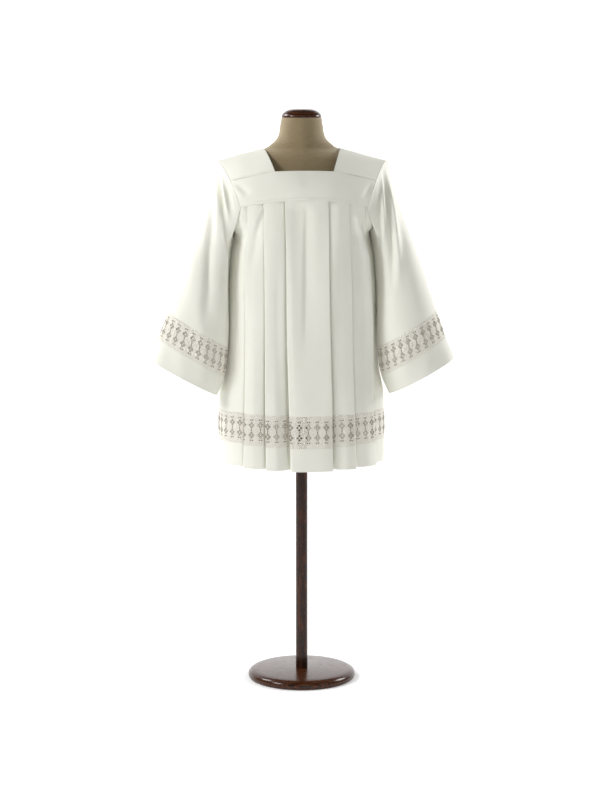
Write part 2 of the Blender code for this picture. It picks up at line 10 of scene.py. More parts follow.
import bpy
import numpy as np
from mathutils.geometry import delaunay_2d_cdt
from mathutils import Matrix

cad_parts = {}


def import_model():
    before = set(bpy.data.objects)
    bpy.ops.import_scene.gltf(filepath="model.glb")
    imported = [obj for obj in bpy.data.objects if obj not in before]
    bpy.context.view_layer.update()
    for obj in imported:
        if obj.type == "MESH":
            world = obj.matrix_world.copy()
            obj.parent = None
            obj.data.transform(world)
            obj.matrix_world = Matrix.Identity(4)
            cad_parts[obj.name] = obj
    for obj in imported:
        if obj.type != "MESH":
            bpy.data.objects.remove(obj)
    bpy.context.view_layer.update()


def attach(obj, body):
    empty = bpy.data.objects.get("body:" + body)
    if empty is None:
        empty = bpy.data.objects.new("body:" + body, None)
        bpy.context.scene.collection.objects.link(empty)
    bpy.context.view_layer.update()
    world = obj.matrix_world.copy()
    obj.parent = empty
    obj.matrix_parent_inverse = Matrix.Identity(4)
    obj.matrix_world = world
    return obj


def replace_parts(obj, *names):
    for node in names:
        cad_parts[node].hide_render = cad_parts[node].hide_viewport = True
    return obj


FRONT, BACK = -1, 1
LEFT, RIGHT = -1, 1

# Sizes shared with the CAD model
YOKE_CLOTH = 0.0016
SEAM_GAP = 0.0003
CHEST_HALF_DEPTH = 0.145
CHEST_HALF_WIDTH = 0.262
SKIRT_SEAM_HEIGHT = 1.3825
SEAM_DIP = 0.018
SEAM_DIP_AT = 0.17
RIDGE_HEIGHT_AT_NECK = 1.523
RIDGE_SLOPE = 0.264
NECK_AT_RIDGE = 0.1085
NECK_AT_CORNER = 0.081
FRONT_BAND_TURN = 33.5
BACK_BAND_TURN = 140.0
ARMHOLE_TURN_AND_REACH = ((0, 0.176), (33.5, 0.202), (60, 0.223), (90, 0.243))
SKIRT = (
    # height, half width, half depth, squareness
    (1.3825, CHEST_HALF_WIDTH, CHEST_HALF_DEPTH, 2.0),
    (1.345, 0.222, 0.146, 2.5),
    (1.305, 0.190, 0.147, 3.0),
    (1.23, 0.197, 0.150, 2.8),
    (1.15, 0.206, 0.152, 2.6),
    (1.05, 0.2095, 0.156, 2.5),
    (0.96, 0.213, 0.161, 2.45),
    (0.90, 0.2185, 0.164, 2.4),
    (0.84, 0.2325, 0.168, 2.35),
    (0.788, 0.2355, 0.171, 2.3),
    (0.63, 0.2375, 0.176, 2.3),
)
UNDERARM_HEIGHT = 1.305
LACE_TOP, LACE_BOTTOM, HEM_HEIGHT = 0.788, 0.697, 0.632
PLEATS = ((0.060, 0.061), (0.119, 0.128), (0.163, 0.192))
UNDERLAY = 0.022
SEAM_DIP_GONE_AT = 1.20
DIRECTION_STEP = 0.003
PLEAT_GAP_AT_YOKE, PLEAT_GAP_AT_HEM = 0.0020, 0.0052
PLEAT_SHIFT_AT_YOKE, PLEAT_SHIFT_AT_HEM = 0.005, 0.017
SLEEVE = (
    # share of the length, outer x, outer z, inner x, inner z, half depth, forward
    (0.00, 0.2430, 1.487, 0.1900, 1.290, 0.107, 0.000),
    (0.12, 0.2530, 1.430, 0.1990, 1.240, 0.100, 0.002),
    (0.30, 0.2800, 1.345, 0.2060, 1.165, 0.088, 0.018),
    (0.50, 0.3210, 1.235, 0.2080, 1.085, 0.078, 0.040),
    (0.70, 0.3580, 1.130, 0.2085, 1.020, 0.073, 0.051),
    (0.80, 0.3770, 1.072, 0.2115, 0.972, 0.071, 0.053),
    (0.90, 0.4050, 0.996, 0.2210, 0.888, 0.069, 0.053),
    (1.00, 0.4300, 0.937, 0.2420, 0.835, 0.068, 0.053),
)
SLEEVE_LACE_TOP, SLEEVE_LACE_BOTTOM = 0.80, 0.90
ARMHOLE_BLEND = 0.22
CAP_BOTTOM = 1.608
FORM_CLEARANCE = 0.0006
FORM_TORSO = (
    # height, half width, half depth, squareness
    (0.84, 0.14, 0.096, 2.3),
    (0.848, 0.15, 0.106, 2.3),
    (0.9, 0.158, 0.114, 2.3),
    (0.97, 0.161, 0.118, 2.3),
    (1.1, 0.146, 0.106, 2.2),
    (1.22, 0.156, 0.113, 2.2),
    (1.31, 0.166, 0.117, 2.2),
    (1.37, 0.173, 0.112, 2.1),
    (1.42, 0.184, 0.101, 2),
    (1.455, 0.196, 0.091, 1.8),
    (1.48, 0.2, 0.083, 1.6),
)
FORM_SHOULDER_REACHES = (0.190, 0.165, 0.140, 0.120, 0.103)
FORM_SHOULDER_DEPTH_AT_NECK = 0.065
FORM_SHOULDER_DEPTH_GROWTH = 0.13
FORM_SHOULDER_SQUARENESS = 1.5
FORM_NECK = (
    (1.534, 0.085, 0.064, 1.75),
    (1.548, 0.07, 0.063, 1.9),
    (1.564, 0.063, 0.062, 2),
    (1.585, 0.06, 0.06, 2),
    (CAP_BOTTOM - SEAM_GAP, 0.056, 0.056, 2),
)
CAP_PROFILE = (
    (0.0555, CAP_BOTTOM), (0.0562, 1.6110), (0.0545, 1.6160), (0.0500, 1.6215), (0.0430, 1.6265),
    (0.0350, 1.6298), (0.0310, 1.6310),
)
POLE_RADIUS = 0.017
BASE_TOP = 0.026
BASE_PROFILE = (
    (0.1500, 0.0000), (0.1530, 0.0030), (0.1545, 0.0090), (0.1535, 0.0150), (0.1495, 0.0200),
    (0.1420, 0.0238), (0.1300, BASE_TOP),
)

# Cloth
SHELL = 0.0007
YOKE_SHELL, HEM_SHELL, LACE_SHELL = 0.0011, 0.0010, 0.0008
CREASE_FADE = 0.03
SKIRT_INSET = 0.0012
HEM_STITCHES_BELOW = 0.0030
STITCH_LENGTH, STITCH_PITCH, STITCH_RADIUS = 0.0024, 0.0034, 0.00022

# How far each pleat's fold opens, from the middle outwards, at the yoke and at the hem
PLEAT_OPENING = {
    (FRONT, LEFT): ((1.3, 2.3), (1.1, 1.5), (0.9, 2.0)),
    (FRONT, RIGHT): ((1.2, 1.6), (0.9, 1.2), (0.9, 1.6)),
    (BACK, LEFT): ((0.9, 1.2), (0.8, 1.4), (0.8, 1.0)),
    (BACK, RIGHT): ((0.8, 1.5), (0.9, 1.1), (0.8, 1.0)),
}

# How far the skirt's sides swell out beside the sleeves, at heights
SIDE_SWELL = (
    (1.305, 0.0), (1.295, 0.0060), (1.25, 0.0095), (1.18, 0.0055), (1.10, 0.0050), (0.95, 0.0050),
    (0.86, 0.0020), (0.79, 0.0),
)
SIDE_SWELL_WIDTH = 0.055

# Each fold lifts the hem beyond it by one step; the lift begins above the lace
HEM_STEP = 0.0028
HEM_STEP_FROM, HEM_STEP_SPAN = 0.90, 0.20

# Share of a pleat's depth that is a narrow trench beside its fold, and the trench's width
TRENCH_SHARE, TRENCH_WIDTH = 0.45, 0.0032

# Creases seen from the front: a route of (x, z), how far it spreads to each side, and its depth;
# a depth below zero stands out
YOKE_CREASES = {
    FRONT: (
        (((-0.185, 1.425), (-0.150, 1.400)), 0.010, 0.010, 0.0034),
        (((-0.205, 1.440), (-0.165, 1.385)), 0.007, 0.007, -0.0016),
        (((-0.022, 1.480), (-0.012, 1.376)), 0.045, 0.018, -0.0016),
        (((0.190, 1.430), (0.165, 1.385)), 0.009, 0.009, 0.0034),
    ),
    BACK: (
        (((-0.180, 1.420), (-0.150, 1.395)), 0.010, 0.010, 0.0018),
        (((0.185, 1.425), (0.155, 1.390)), 0.009, 0.010, 0.0020),
    ),
}
SKIRT_CREASES = {
    FRONT: (
        (((0.004, 1.376), (0.002, 1.20), (0.002, 0.98)), 0.008, 0.026, 0.0055),
        (((0.149, 1.345), (0.173, 1.215), (0.182, 1.033), (0.189, 0.84)), 0.013, 0.008, -0.0175),
        (((-0.112, 1.372), (-0.134, 1.30), (-0.146, 1.20)), 0.010, 0.014, 0.0065),
        (((-0.150, 1.360), (-0.163, 1.24), (-0.160, 1.05)), 0.010, 0.012, -0.0030),
        (((-0.100, 1.30), (-0.108, 1.00), (-0.118, 0.80)), 0.016, 0.018, -0.0030),
        (((-0.075, 1.20), (-0.078, 1.00), (-0.070, 0.75)), 0.014, 0.014, 0.0028),
        (((-0.040, 1.32), (-0.036, 1.05), (-0.022, 0.70)), 0.010, 0.022, -0.0030),
        (((0.095, 1.30), (0.100, 1.05), (0.110, 0.72)), 0.012, 0.018, 0.0022),
        (((0.128, 1.30), (0.140, 1.05), (0.150, 0.70)), 0.012, 0.012, -0.0022),
    ),
    BACK: (
        (((-0.010, 1.375), (-0.006, 1.15), (0.000, 0.92)), 0.012, 0.014, 0.0024),
        (((-0.145, 1.345), (-0.172, 1.12), (-0.182, 0.82)), 0.013, 0.011, -0.0045),
        (((0.112, 1.365), (0.136, 1.20)), 0.013, 0.015, 0.0040),
        (((0.152, 1.350), (0.165, 1.20), (0.170, 1.00)), 0.011, 0.012, -0.0030),
        (((0.095, 1.28), (0.105, 0.98), (0.112, 0.78)), 0.016, 0.015, -0.0028),
        (((0.045, 1.30), (0.040, 1.02), (0.030, 0.72)), 0.012, 0.020, -0.0028),
        (((-0.090, 1.30), (-0.096, 1.02), (-0.104, 0.74)), 0.012, 0.016, 0.0024),
    ),
}
SLEEVE_CREASES = {
    (LEFT, FRONT): (
        (((-0.252, 1.430), (-0.260, 1.330), (-0.264, 1.235), (-0.267, 1.140), (-0.276, 1.050)),
         0.011, 0.015, 0.0120),
        (((-0.226, 1.330), (-0.222, 1.230), (-0.222, 1.120), (-0.225, 1.030)),
         0.018, 0.006, -0.0110),
        (((-0.238, 1.464), (-0.232, 1.400), (-0.217, 1.330)), 0.007, 0.006, 0.0150),
        (((-0.227, 1.468), (-0.219, 1.400), (-0.209, 1.325)), 0.0045, 0.0045, -0.0040),
        (((-0.214, 1.420), (-0.201, 1.345)), 0.008, 0.008, 0.0100),
        (((-0.222, 1.310), (-0.221, 1.230), (-0.219, 1.170)), 0.006, 0.006, -0.0035),
    ),
    (RIGHT, FRONT): (
        (((0.236, 1.470), (0.251, 1.350), (0.262, 1.230), (0.263, 1.150)), 0.008, 0.008, -0.0065),
        (((0.228, 1.460), (0.240, 1.340), (0.246, 1.240), (0.244, 1.140)), 0.009, 0.009, 0.0110),
        (((0.250, 1.450), (0.272, 1.330), (0.284, 1.230)), 0.009, 0.014, 0.0060),
        (((0.222, 1.450), (0.221, 1.370), (0.222, 1.290), (0.222, 1.230)), 0.006, 0.006, -0.0060),
        (((0.212, 1.400), (0.209, 1.330), (0.212, 1.270)), 0.008, 0.008, 0.0090),
    ),
    (LEFT, BACK): (
        (((-0.250, 1.420), (-0.268, 1.320), (-0.282, 1.220), (-0.276, 1.130)),
         0.014, 0.012, 0.0110),
        (((-0.236, 1.400), (-0.242, 1.300), (-0.248, 1.200), (-0.240, 1.090)),
         0.010, 0.010, -0.0055),
        (((-0.226, 1.400), (-0.214, 1.320)), 0.009, 0.009, 0.0090),
    ),
    (RIGHT, BACK): (
        (((0.248, 1.430), (0.266, 1.320), (0.276, 1.220), (0.268, 1.110)),
         0.012, 0.014, 0.0110),
        (((0.235, 1.410), (0.244, 1.310), (0.246, 1.200)), 0.010, 0.010, -0.0055),
        (((0.224, 1.390), (0.213, 1.310)), 0.009, 0.009, 0.0090),
    ),
}

# Lace: a repeat's width and the cord's radius in metres, the rest in millimetres; a hole is its
# place across and down from its group's middle, its half width and its half height
LACE_PITCH = 0.025
DIAMOND_ROW = 14.0
DIAMOND_HOLES = ((0, -5.9, 3.0, 3.1), (0, 5.9, 3.0, 3.1), (-4.9, 0, 2.9, 3.3), (4.9, 0, 2.9, 3.3))
BOW_BELOW, BOW_ACROSS, BOW_HOLE = 14.5, 2.9, (2.1, 1.6)
BAR_HOLE = (0.9, 3.6)
EDGE_HOLES, EDGE_HOLE, EDGE_INSET = 5, (1.1, 1.3), 3.0
NET_PITCH, NET_HOLE, NET_CLEARANCE = 3.7, (1.40, 0.92), 1.9
NET_SHIFT, NET_LEAN = 0.3, 0.35
CORD_INSET = 0.35
MOTIF_PHASE = 0.0145
CORD_RADIUS, CORD_SIDES, CORD_STEPS = 0.00075, 4, 12


# Camera, in metres and degrees, and lights
CAMERA_DISTANCE = 6.0
CAMERA_HEIGHT = 1.685
CAMERA_AZIMUTH = -4.0
CAMERA_PITCH = 8.3
CAMERA_SHIFT = 0.014
LENS = 95.76
LIGHTS = (
    # name, place, size, power
    ("key", (-3.6, -1.5, 3.5), 1.1, 102),
    ("fill", (3.4, -3.4, 2.2), 2.0, 14),
    ("front", (0.4, -5.5, 2.7), 1.6, 28),
    ("low_left", (-3.4, -2.6, 1.5), 1.2, 9),
    ("left_edge", (-2.5, 1.3, 3.0), 1.1, 56),
    ("right_edge", (2.9, 0.9, 2.4), 1.1, 66),
)
WORLD_LIGHT = 0.17

# Where the paper bends up into a wall, behind a camera that looks from the back, and its bend
WALL_FOOT, WALL_BEND = 7.0, 2.5

# The paper's own glow: where it starts and is full on the way back, and its strength at each
FLOOR_GLOW = (-1.0, 7.0, 0.14, 0.95)


# Shared shapes

def curve_through(rows):
    """A smooth function through a table's rows: the first column is its key."""
    rows = np.array(sorted(rows), float)
    keys, values = rows[:, 0], rows[:, 1:]
    slopes = np.gradient(values, keys, axis=0)

    def at(key):
        key = min(max(key, keys[0]), keys[-1])
        i = min(int(np.searchsorted(keys, key, side="right")) - 1, len(keys) - 2)
        span = keys[i + 1] - keys[i]
        t = (key - keys[i]) / span
        rise = t * t * (3 - 2 * t)
        start_slope = slopes[i] * span * t * (1 - t) ** 2
        end_slope = slopes[i + 1] * span * t * t * (t - 1)
        return values[i] * (1 - rise) + values[i + 1] * rise + start_slope + end_slope

    return at


skirt_at = curve_through(SKIRT)
sleeve_at = curve_through(SLEEVE)
armhole_reach_at = curve_through(ARMHOLE_TURN_AND_REACH)
side_swell_at = curve_through(SIDE_SWELL)


def smooth_step(value):
    value = np.clip(value, 0.0, 1.0)
    return value * value * (3 - 2 * value)


def ridge_height(x):
    """Height of the shoulder's ridge, level across the neck's opening."""
    reach = np.maximum(np.abs(x), NECK_AT_CORNER)
    return RIDGE_HEIGHT_AT_NECK - RIDGE_SLOPE * (reach - NECK_AT_RIDGE)


def seam_dip(x):
    return SEAM_DIP * (x / SEAM_DIP_AT) ** 2


def arch_points(x, turn):
    """Points on the yoke's outside: turn is 0 at the front seam, 90 on the ridge, 180 behind."""
    depth = CHEST_HALF_DEPTH * np.sqrt(1 - (x / CHEST_HALF_WIDTH) ** 2)
    foot = SKIRT_SEAM_HEIGHT - seam_dip(x)
    angle = np.radians(turn)
    rise = (ridge_height(x) - foot) * np.sin(angle)
    return np.stack((x, -depth * np.cos(angle), foot + rise), axis=-1)


def armhole_reach(turn):
    return armhole_reach_at(turn if turn < 90 else 180 - turn)[0]


def neck_reach(turn):
    span = FRONT_BAND_TURN if turn < 90 else 180 - BACK_BAND_TURN
    way = ((turn if turn < 90 else 180 - turn) - span) / (90 - span)
    bend = 1 - (1 - max(way, 0.0)) ** 1.5
    return NECK_AT_CORNER + (NECK_AT_RIDGE - NECK_AT_CORNER) * bend


@functools.lru_cache(maxsize=None)
def skirt_quarter(height):
    """The outline from the middle of the front to the side: across, depth, length of cloth."""
    half_width, half_depth, squareness = skirt_at(height)
    turn = np.linspace(math.pi / 2, 0, 481)
    across = half_width * np.cos(turn) ** (2 / squareness)
    depth = half_depth * np.sin(turn) ** (2 / squareness)
    steps = np.hypot(np.diff(across), np.diff(depth))
    return across, depth, np.concatenate(((0.0,), np.cumsum(steps)))


def skirt_length_to(height, x):
    across, _, length = skirt_quarter(height)
    return math.copysign(np.interp(abs(x), across, length), x)


def skirt_points(face, height, along, inward):
    """Points at one height: along is the length of cloth from the middle of that face."""
    across, depth, length = skirt_quarter(height)
    reach = np.minimum(np.abs(along), length[-1])
    near = np.maximum(reach - DIRECTION_STEP, 0.0)
    far = np.minimum(reach + DIRECTION_STEP, length[-1])
    run_x = np.interp(far, length, across) - np.interp(near, length, across)
    run_y = np.interp(far, length, depth) - np.interp(near, length, depth)
    run = np.hypot(run_x, run_y)
    x = np.interp(reach, length, across) + run_y / run * inward
    y = np.interp(reach, length, depth) - run_x / run * inward
    fade = smooth_step((height - SEAM_DIP_GONE_AT) / (SKIRT_SEAM_HEIGHT - SEAM_DIP_GONE_AT))
    z = height - seam_dip(x) * fade
    return np.stack((np.copysign(x, along), face * y, z), axis=-1)


def skirt_edge(height):
    """Length of cloth from the middle to the panel's edge: the armhole, or the side seam."""
    side_seam = skirt_quarter(height)[2][-1]
    drop = (SKIRT_SEAM_HEIGHT - height) / (SKIRT_SEAM_HEIGHT - UNDERARM_HEIGHT)
    if drop >= 1:
        return side_seam
    corner = skirt_length_to(height, armhole_reach(0))
    return corner + (side_seam - corner) * (1 - math.sqrt(1 - max(drop, 0.0) ** 2))


def armhole(side):
    """Points close together round an armhole: from the ridge down the front and up the back."""
    points = []
    for turn in np.linspace(90, 0, 46):
        points.append(arch_points(np.array(side * armhole_reach(turn)), turn))
    for step in range(1, 25):
        height = underarm_row(step / 24)
        points.append(skirt_points(FRONT, height, np.array(side * skirt_edge(height)), 0.0))
    for step in range(23, 0, -1):
        height = underarm_row(step / 24)
        points.append(skirt_points(BACK, height, np.array(side * skirt_edge(height)), 0.0))
    for turn in np.linspace(180, 90, 46)[:-1]:
        points.append(arch_points(np.array(side * armhole_reach(turn)), turn))
    return np.array(points)


def underarm_row(way):
    """A height between the yoke's corner (0) and the underarm (1), closer together low down."""
    return SKIRT_SEAM_HEIGHT + (UNDERARM_HEIGHT - SKIRT_SEAM_HEIGHT) * math.sin(math.pi / 2 * way)


def sleeve_ovals(side, along, angles):
    """Points on the sleeve's oval: an angle is 0 at the outer edge and pi at the inner edge."""
    outer_x, outer_z, inner_x, inner_z, half_depth, forward = sleeve_at(along)
    half_x, half_z = (outer_x - inner_x) / 2, (outer_z - inner_z) / 2
    wide = np.cos(angles)
    x = inner_x + half_x + wide * half_x
    z = inner_z + half_z + wide * half_z
    return np.stack((side * x, -half_depth * np.sin(angles) - forward, z), axis=-1)


def sleeve_grid(side, alongs):
    """Rings of points down the sleeve: just past the armhole at 0, ovals further down."""
    hole = armhole(side)
    outer_x, outer_z, inner_x, inner_z, half_depth, _ = sleeve_at(0.0)
    middle = np.array(((outer_x + inner_x) / 2, (outer_z + inner_z) / 2))
    outwards = np.array((outer_x, outer_z)) - middle
    half_width = np.linalg.norm(outwards)
    wide = (np.stack((np.abs(hole[:, 0]), hole[:, 2]), axis=1) - middle) @ outwards / half_width ** 2
    angles = np.arctan2(-hole[:, 1] / half_depth, wide) % (2 * math.pi)
    clear = np.array((side * (SHELL + SEAM_GAP), 0, 0))
    start = sleeve_ovals(side, 0.0, angles)
    rings = []
    for along in alongs:
        blend = 1 - smooth_step(along / ARMHOLE_BLEND)
        rings.append(sleeve_ovals(side, along, angles) + blend * (hole + clear - start))
    return np.array(rings)


# Pleats

def pleat_path(face, height):
    """The cloth's path across one face at a height.

    For each point: its length along the outline, its depth in it and the folds passed so far.
    """
    way = (SKIRT_SEAM_HEIGHT - height) / (SKIRT_SEAM_HEIGHT - HEM_HEIGHT)
    gap = PLEAT_GAP_AT_YOKE + (PLEAT_GAP_AT_HEM - PLEAT_GAP_AT_YOKE) * way
    shift = PLEAT_SHIFT_AT_YOKE + (PLEAT_SHIFT_AT_HEM - PLEAT_SHIFT_AT_YOKE) * way
    halves = []
    for side in (LEFT, RIGHT):
        folds, gaps = [], []
        for number, (at_yoke, at_hem) in enumerate(PLEATS):
            x = side * (at_yoke + (at_hem - at_yoke) * way) + shift
            wander = 0.0012 * math.sin(9 * height + 2.1 * number + side) * smooth_step(way * 4)
            folds.append(side * skirt_length_to(height, x) + wander)
            shut, open_ = PLEAT_OPENING[face, side][number]
            gaps.append(gap * (shut + (open_ - shut) * smooth_step(way * 1.2)))
        edge = skirt_edge(height) - SEAM_GAP / 2
        path = [(np.linspace(0, folds[0] - gaps[0] / 2, 20), np.zeros(20), np.zeros(20))]
        arc = np.linspace(-math.pi / 2, math.pi / 2, 9)
        for number, fold in enumerate(folds):
            turn = gaps[number] / 2
            inner = fold - UNDERLAY
            path.append((fold - turn + turn * np.cos(arc), turn + turn * np.sin(arc),
                         np.full(9, number)))
            path.append((np.linspace(fold - turn, inner + turn, 8)[1:-1], np.full(6, 2 * turn),
                         np.linspace(number, number + 1, 8)[1:-1]))
            path.append((inner + turn - turn * np.cos(arc), 3 * turn + turn * np.sin(arc),
                         np.full(9, number + 1)))
            path.append((np.linspace(inner + turn, fold + turn, 8)[1:], np.full(7, 4 * turn),
                         np.full(7, number + 1)))
            if number + 1 < len(folds):
                end = folds[number + 1] - gaps[number + 1] / 2
                count = 26
            else:
                end, count = edge, 20
            share = np.linspace(0, 1, count)[1:] ** 1.5
            slope = 1 - smooth_step(share / 0.62)
            trench = np.exp(-share * (end - fold - turn) / TRENCH_WIDTH)
            rise = 4 * turn * ((1 - TRENCH_SHARE) * slope + TRENCH_SHARE * trench)
            path.append((fold + turn + (end - fold - turn) * share, rise,
                         np.full(count - 1, number + 1)))
        along, depth, passed = (np.concatenate(parts) for parts in zip(*path))
        halves.append((side * along, depth, passed))
    return [np.concatenate((left[::-1], right[1:])) for left, right in zip(*halves)]


# Creases

def crease_depth(x, z, creases):
    """How far the creases push the cloth in at places seen from the front."""
    total = np.zeros_like(x)
    for route, spread_left, spread_right, depth in creases:
        route = np.array(route)
        pieces = np.linalg.norm(np.diff(route, axis=0), axis=1)
        reach = np.concatenate(((0.0,), np.cumsum(pieces)))
        nearest = np.full(x.shape, 1e9)
        offset = np.zeros_like(x)
        place = np.zeros_like(x)
        for number, (start, end) in enumerate(zip(route, route[1:])):
            run = end - start
            share = np.clip(((x - start[0]) * run[0] + (z - start[1]) * run[1]) / (run @ run), 0, 1)
            gap_x, gap_z = x - start[0] - share * run[0], z - start[1] - share * run[1]
            away = np.hypot(gap_x, gap_z)
            closer = away < nearest
            nearest = np.where(closer, away, nearest)
            offset = np.where(closer, np.copysign(away, gap_x), offset)
            place = np.where(closer, reach[number] + share * pieces[number], place)
        swell = np.sin(np.pi * np.clip(place / reach[-1], 0.02, 0.98)) ** 0.6
        spread = np.where(offset < 0, spread_left, spread_right) * (0.7 + 0.5 * place / reach[-1])
        total += depth * swell * np.exp(-((offset / spread) ** 2))
    return total


def slow_waves(a, b, seed, amplitude, wavelengths):
    """A gentle unevenness over two lengths, the same in each run."""
    draw = random.Random(seed)
    total = np.zeros(np.broadcast(a, b).shape)
    for wavelength in wavelengths:
        for _ in range(3):
            turn = draw.uniform(-0.5, 0.5)
            phase = draw.uniform(0, 2 * math.pi)
            way = a * math.cos(turn) + b * math.sin(turn) * 0.35
            total += amplitude / 3 * np.sin(2 * math.pi * way / wavelength + phase)
    return total


# Grids and shells

def normals_of(grid, closed=False):
    down = np.gradient(grid, axis=0)
    if closed:
        around = np.roll(grid, -1, axis=1) - np.roll(grid, 1, axis=1)
    else:
        around = np.gradient(grid, axis=1)
    normals = np.cross(around, down)
    length = np.linalg.norm(normals, axis=2)[..., None]
    return normals / np.maximum(length, 1e-12)


def outward(grid, closed=False, middle=(0.0, 0.0)):
    """Unit normals that point away from an upright line."""
    normals = normals_of(grid, closed)
    away = grid[..., :2] - np.array(middle)
    if np.sum(normals[..., :2] * away) < 0:
        normals = -normals
    return normals


def new_object(name, points, faces, material, smooth=50):
    mesh = bpy.data.meshes.new(name)
    mesh.from_pydata([tuple(p) for p in points], [], faces)
    mesh.validate()
    mesh.shade_smooth()
    mesh.set_sharp_from_angle(angle=math.radians(smooth))
    mesh.materials.append(material)
    obj = bpy.data.objects.new(name, mesh)
    bpy.context.collection.objects.link(obj)
    return obj


def cut_of(grid, closed=False):
    """The flat cut of a piece without its creases: (width, length) and area."""
    if closed:
        grid = np.concatenate((grid, grid[:, :1]), axis=1)
    width = np.linalg.norm(np.diff(grid, axis=1), axis=2).sum(axis=1).max()
    length = np.linalg.norm(np.diff(grid, axis=0), axis=2).sum(axis=0).max()
    across, down = grid[1:, 1:] - grid[:-1, :-1], grid[1:, :-1] - grid[:-1, 1:]
    area = np.linalg.norm(np.cross(across, down), axis=2).sum() / 2
    return (float(width), float(length)), float(min(area, width * length))


def shell_mesh(grid, normals, thickness, closed=False):
    """Points and faces of a thin shell under a grid of points, its edges closed."""
    rows, columns = grid.shape[:2]
    outer = grid.reshape(-1, 3)
    inner = (grid - normals * thickness).reshape(-1, 3)
    offset = rows * columns
    spans = columns if closed else columns - 1
    index = np.arange(offset).reshape(rows, columns)
    right = np.roll(index, -1, axis=1)[:, :spans]
    left = index[:, :spans]
    a, b, c, d = left[:-1], right[:-1], right[1:], left[1:]
    quads = np.stack((a, b, c, d), axis=-1).reshape(-1, 4)
    flip = np.sum(np.cross(grid[0, 1] - grid[0, 0], grid[1, 0] - grid[0, 0]) * normals[0, 0]) > 0
    quads = quads if not flip else quads[:, ::-1]
    faces = [quads, quads[:, ::-1] + offset]
    for row, forward in ((0, True), (rows - 1, False)):
        first, second = left[row], right[row]
        rim = np.stack((first, second, second + offset, first + offset), axis=-1)
        faces.append(rim if forward == flip else rim[:, ::-1])
    if not closed:
        for column, forward in ((0, False), (columns - 1, True)):
            first, second = index[:-1, column], index[1:, column]
            rim = np.stack((first, second, second + offset, first + offset), axis=-1)
            faces.append(rim if forward == flip else rim[:, ::-1])
    return np.vstack((outer, inner)), np.vstack(faces).tolist()


def add_shell(name, grid, material, closed=False, middle=(0.0, 0.0), thickness=SHELL):
    normals = outward(grid, closed, middle)
    points, faces = shell_mesh(grid, normals, thickness, closed)
    return new_object(name, points, faces, material)


class Sheet:
    """A grid of points as a surface, read by shares of its width and its height."""

    def __init__(self, grid, closed=False, middle=(0.0, 0.0)):
        normals = outward(grid, closed, middle)
        if closed:
            grid = np.concatenate((grid, grid[:, :1]), axis=1)
            normals = np.concatenate((normals, normals[:, :1]), axis=1)
        self.grid, self.normals = grid, normals
        across = np.linalg.norm(np.diff(grid, axis=1), axis=2).mean(axis=0)
        down = np.linalg.norm(np.diff(grid, axis=0), axis=2).mean(axis=1)
        self.across = np.concatenate(((0.0,), np.cumsum(across)))
        self.down = np.concatenate(((0.0,), np.cumsum(down)))
        self.width, self.height = self.across[-1], self.down[-1]

    def at(self, along, below, lift=0.0):
        """Points at lengths along the width and below the top, raised off the cloth."""
        column = np.interp(along, self.across, np.arange(len(self.across)))
        row = np.interp(below, self.down, np.arange(len(self.down)))
        left = np.minimum(column.astype(int), len(self.across) - 2)
        top = np.minimum(row.astype(int), len(self.down) - 2)
        u, v = (column - left)[..., None], (row - top)[..., None]
        points = blend_corners(self.grid, left, top, u, v)
        normals = blend_corners(self.normals, left, top, u, v)
        normals /= np.maximum(np.linalg.norm(normals, axis=-1)[..., None], 1e-9)
        return points + normals * np.asarray(lift)[..., None], normals


def blend_corners(grid, left, top, u, v):
    upper = grid[top, left] * (1 - u) + grid[top, left + 1] * u
    lower = grid[top + 1, left] * (1 - u) + grid[top + 1, left + 1] * u
    return upper * (1 - v) + lower * v


def stitches(sheet, routes, lift=0.0003):
    """Small capsules along routes on a sheet, each a list of (along, below)."""
    points, faces = [], []
    ring = [(math.cos(a), math.sin(a)) for a in np.linspace(0, 2 * math.pi, 5)[:-1]]
    for route in routes:
        route = np.array(route, float)
        steps = np.linalg.norm(np.diff(route, axis=0), axis=1)
        reach = np.concatenate(((0.0,), np.cumsum(steps)))
        count = int(reach[-1] / STITCH_PITCH)
        starts = (np.arange(count) + 0.15) * STITCH_PITCH
        for start in starts:
            stops = start + np.array((0.0, 0.25, 0.75, 1.0)) * STITCH_LENGTH
            along = np.interp(stops, reach, route[:, 0])
            below = np.interp(stops, reach, route[:, 1])
            spine, normals = sheet.at(along, below, np.array((-0.0003, 1.0, 1.0, -0.0003)) * lift)
            tangent = spine[3] - spine[0]
            tangent /= max(np.linalg.norm(tangent), 1e-9)
            first = len(points)
            for stop, size in ((0, 0.45), (1, 1.0), (2, 1.0), (3, 0.45)):
                up = normals[stop]
                sideways = np.cross(tangent, up)
                for c, s in ring:
                    points.append(spine[stop] + STITCH_RADIUS * size * (c * sideways + s * up))
            for level in range(3):
                for k in range(4):
                    a, b = first + level * 4 + k, first + level * 4 + (k + 1) % 4
                    faces.append((a, b, b + 4, a + 4))
            faces.append(tuple(first + k for k in reversed(range(4))))
            faces.append(tuple(first + 12 + k for k in range(4)))
    return points, faces


# Lace

def rhombus(x, y, half_width, half_height, lean=0.0, sides=6):
    """Corners of a small hole: a diamond with four sides, or a blunter one with six."""
    corners = []
    for angle in range(0, 360, 360 // sides):
        a = math.radians(angle)
        dx, dy = half_width * math.cos(a), half_height * math.sin(a)
        corners.append((x + dx * math.cos(lean) - dy * math.sin(lean),
                        y + dx * math.sin(lean) + dy * math.cos(lean)))
    return corners


def oval(x, y, half_width, half_height):
    """A closed loop between a rhombus and an ellipse."""
    turns = np.linspace(0, 2 * math.pi, CORD_STEPS, endpoint=False)
    wide, tall = np.cos(turns), np.sin(turns)
    return np.stack((x + half_width * np.copysign(np.abs(wide) ** 1.3, wide),
                     y + half_height * np.copysign(np.abs(tall) ** 1.3, tall)), axis=-1)


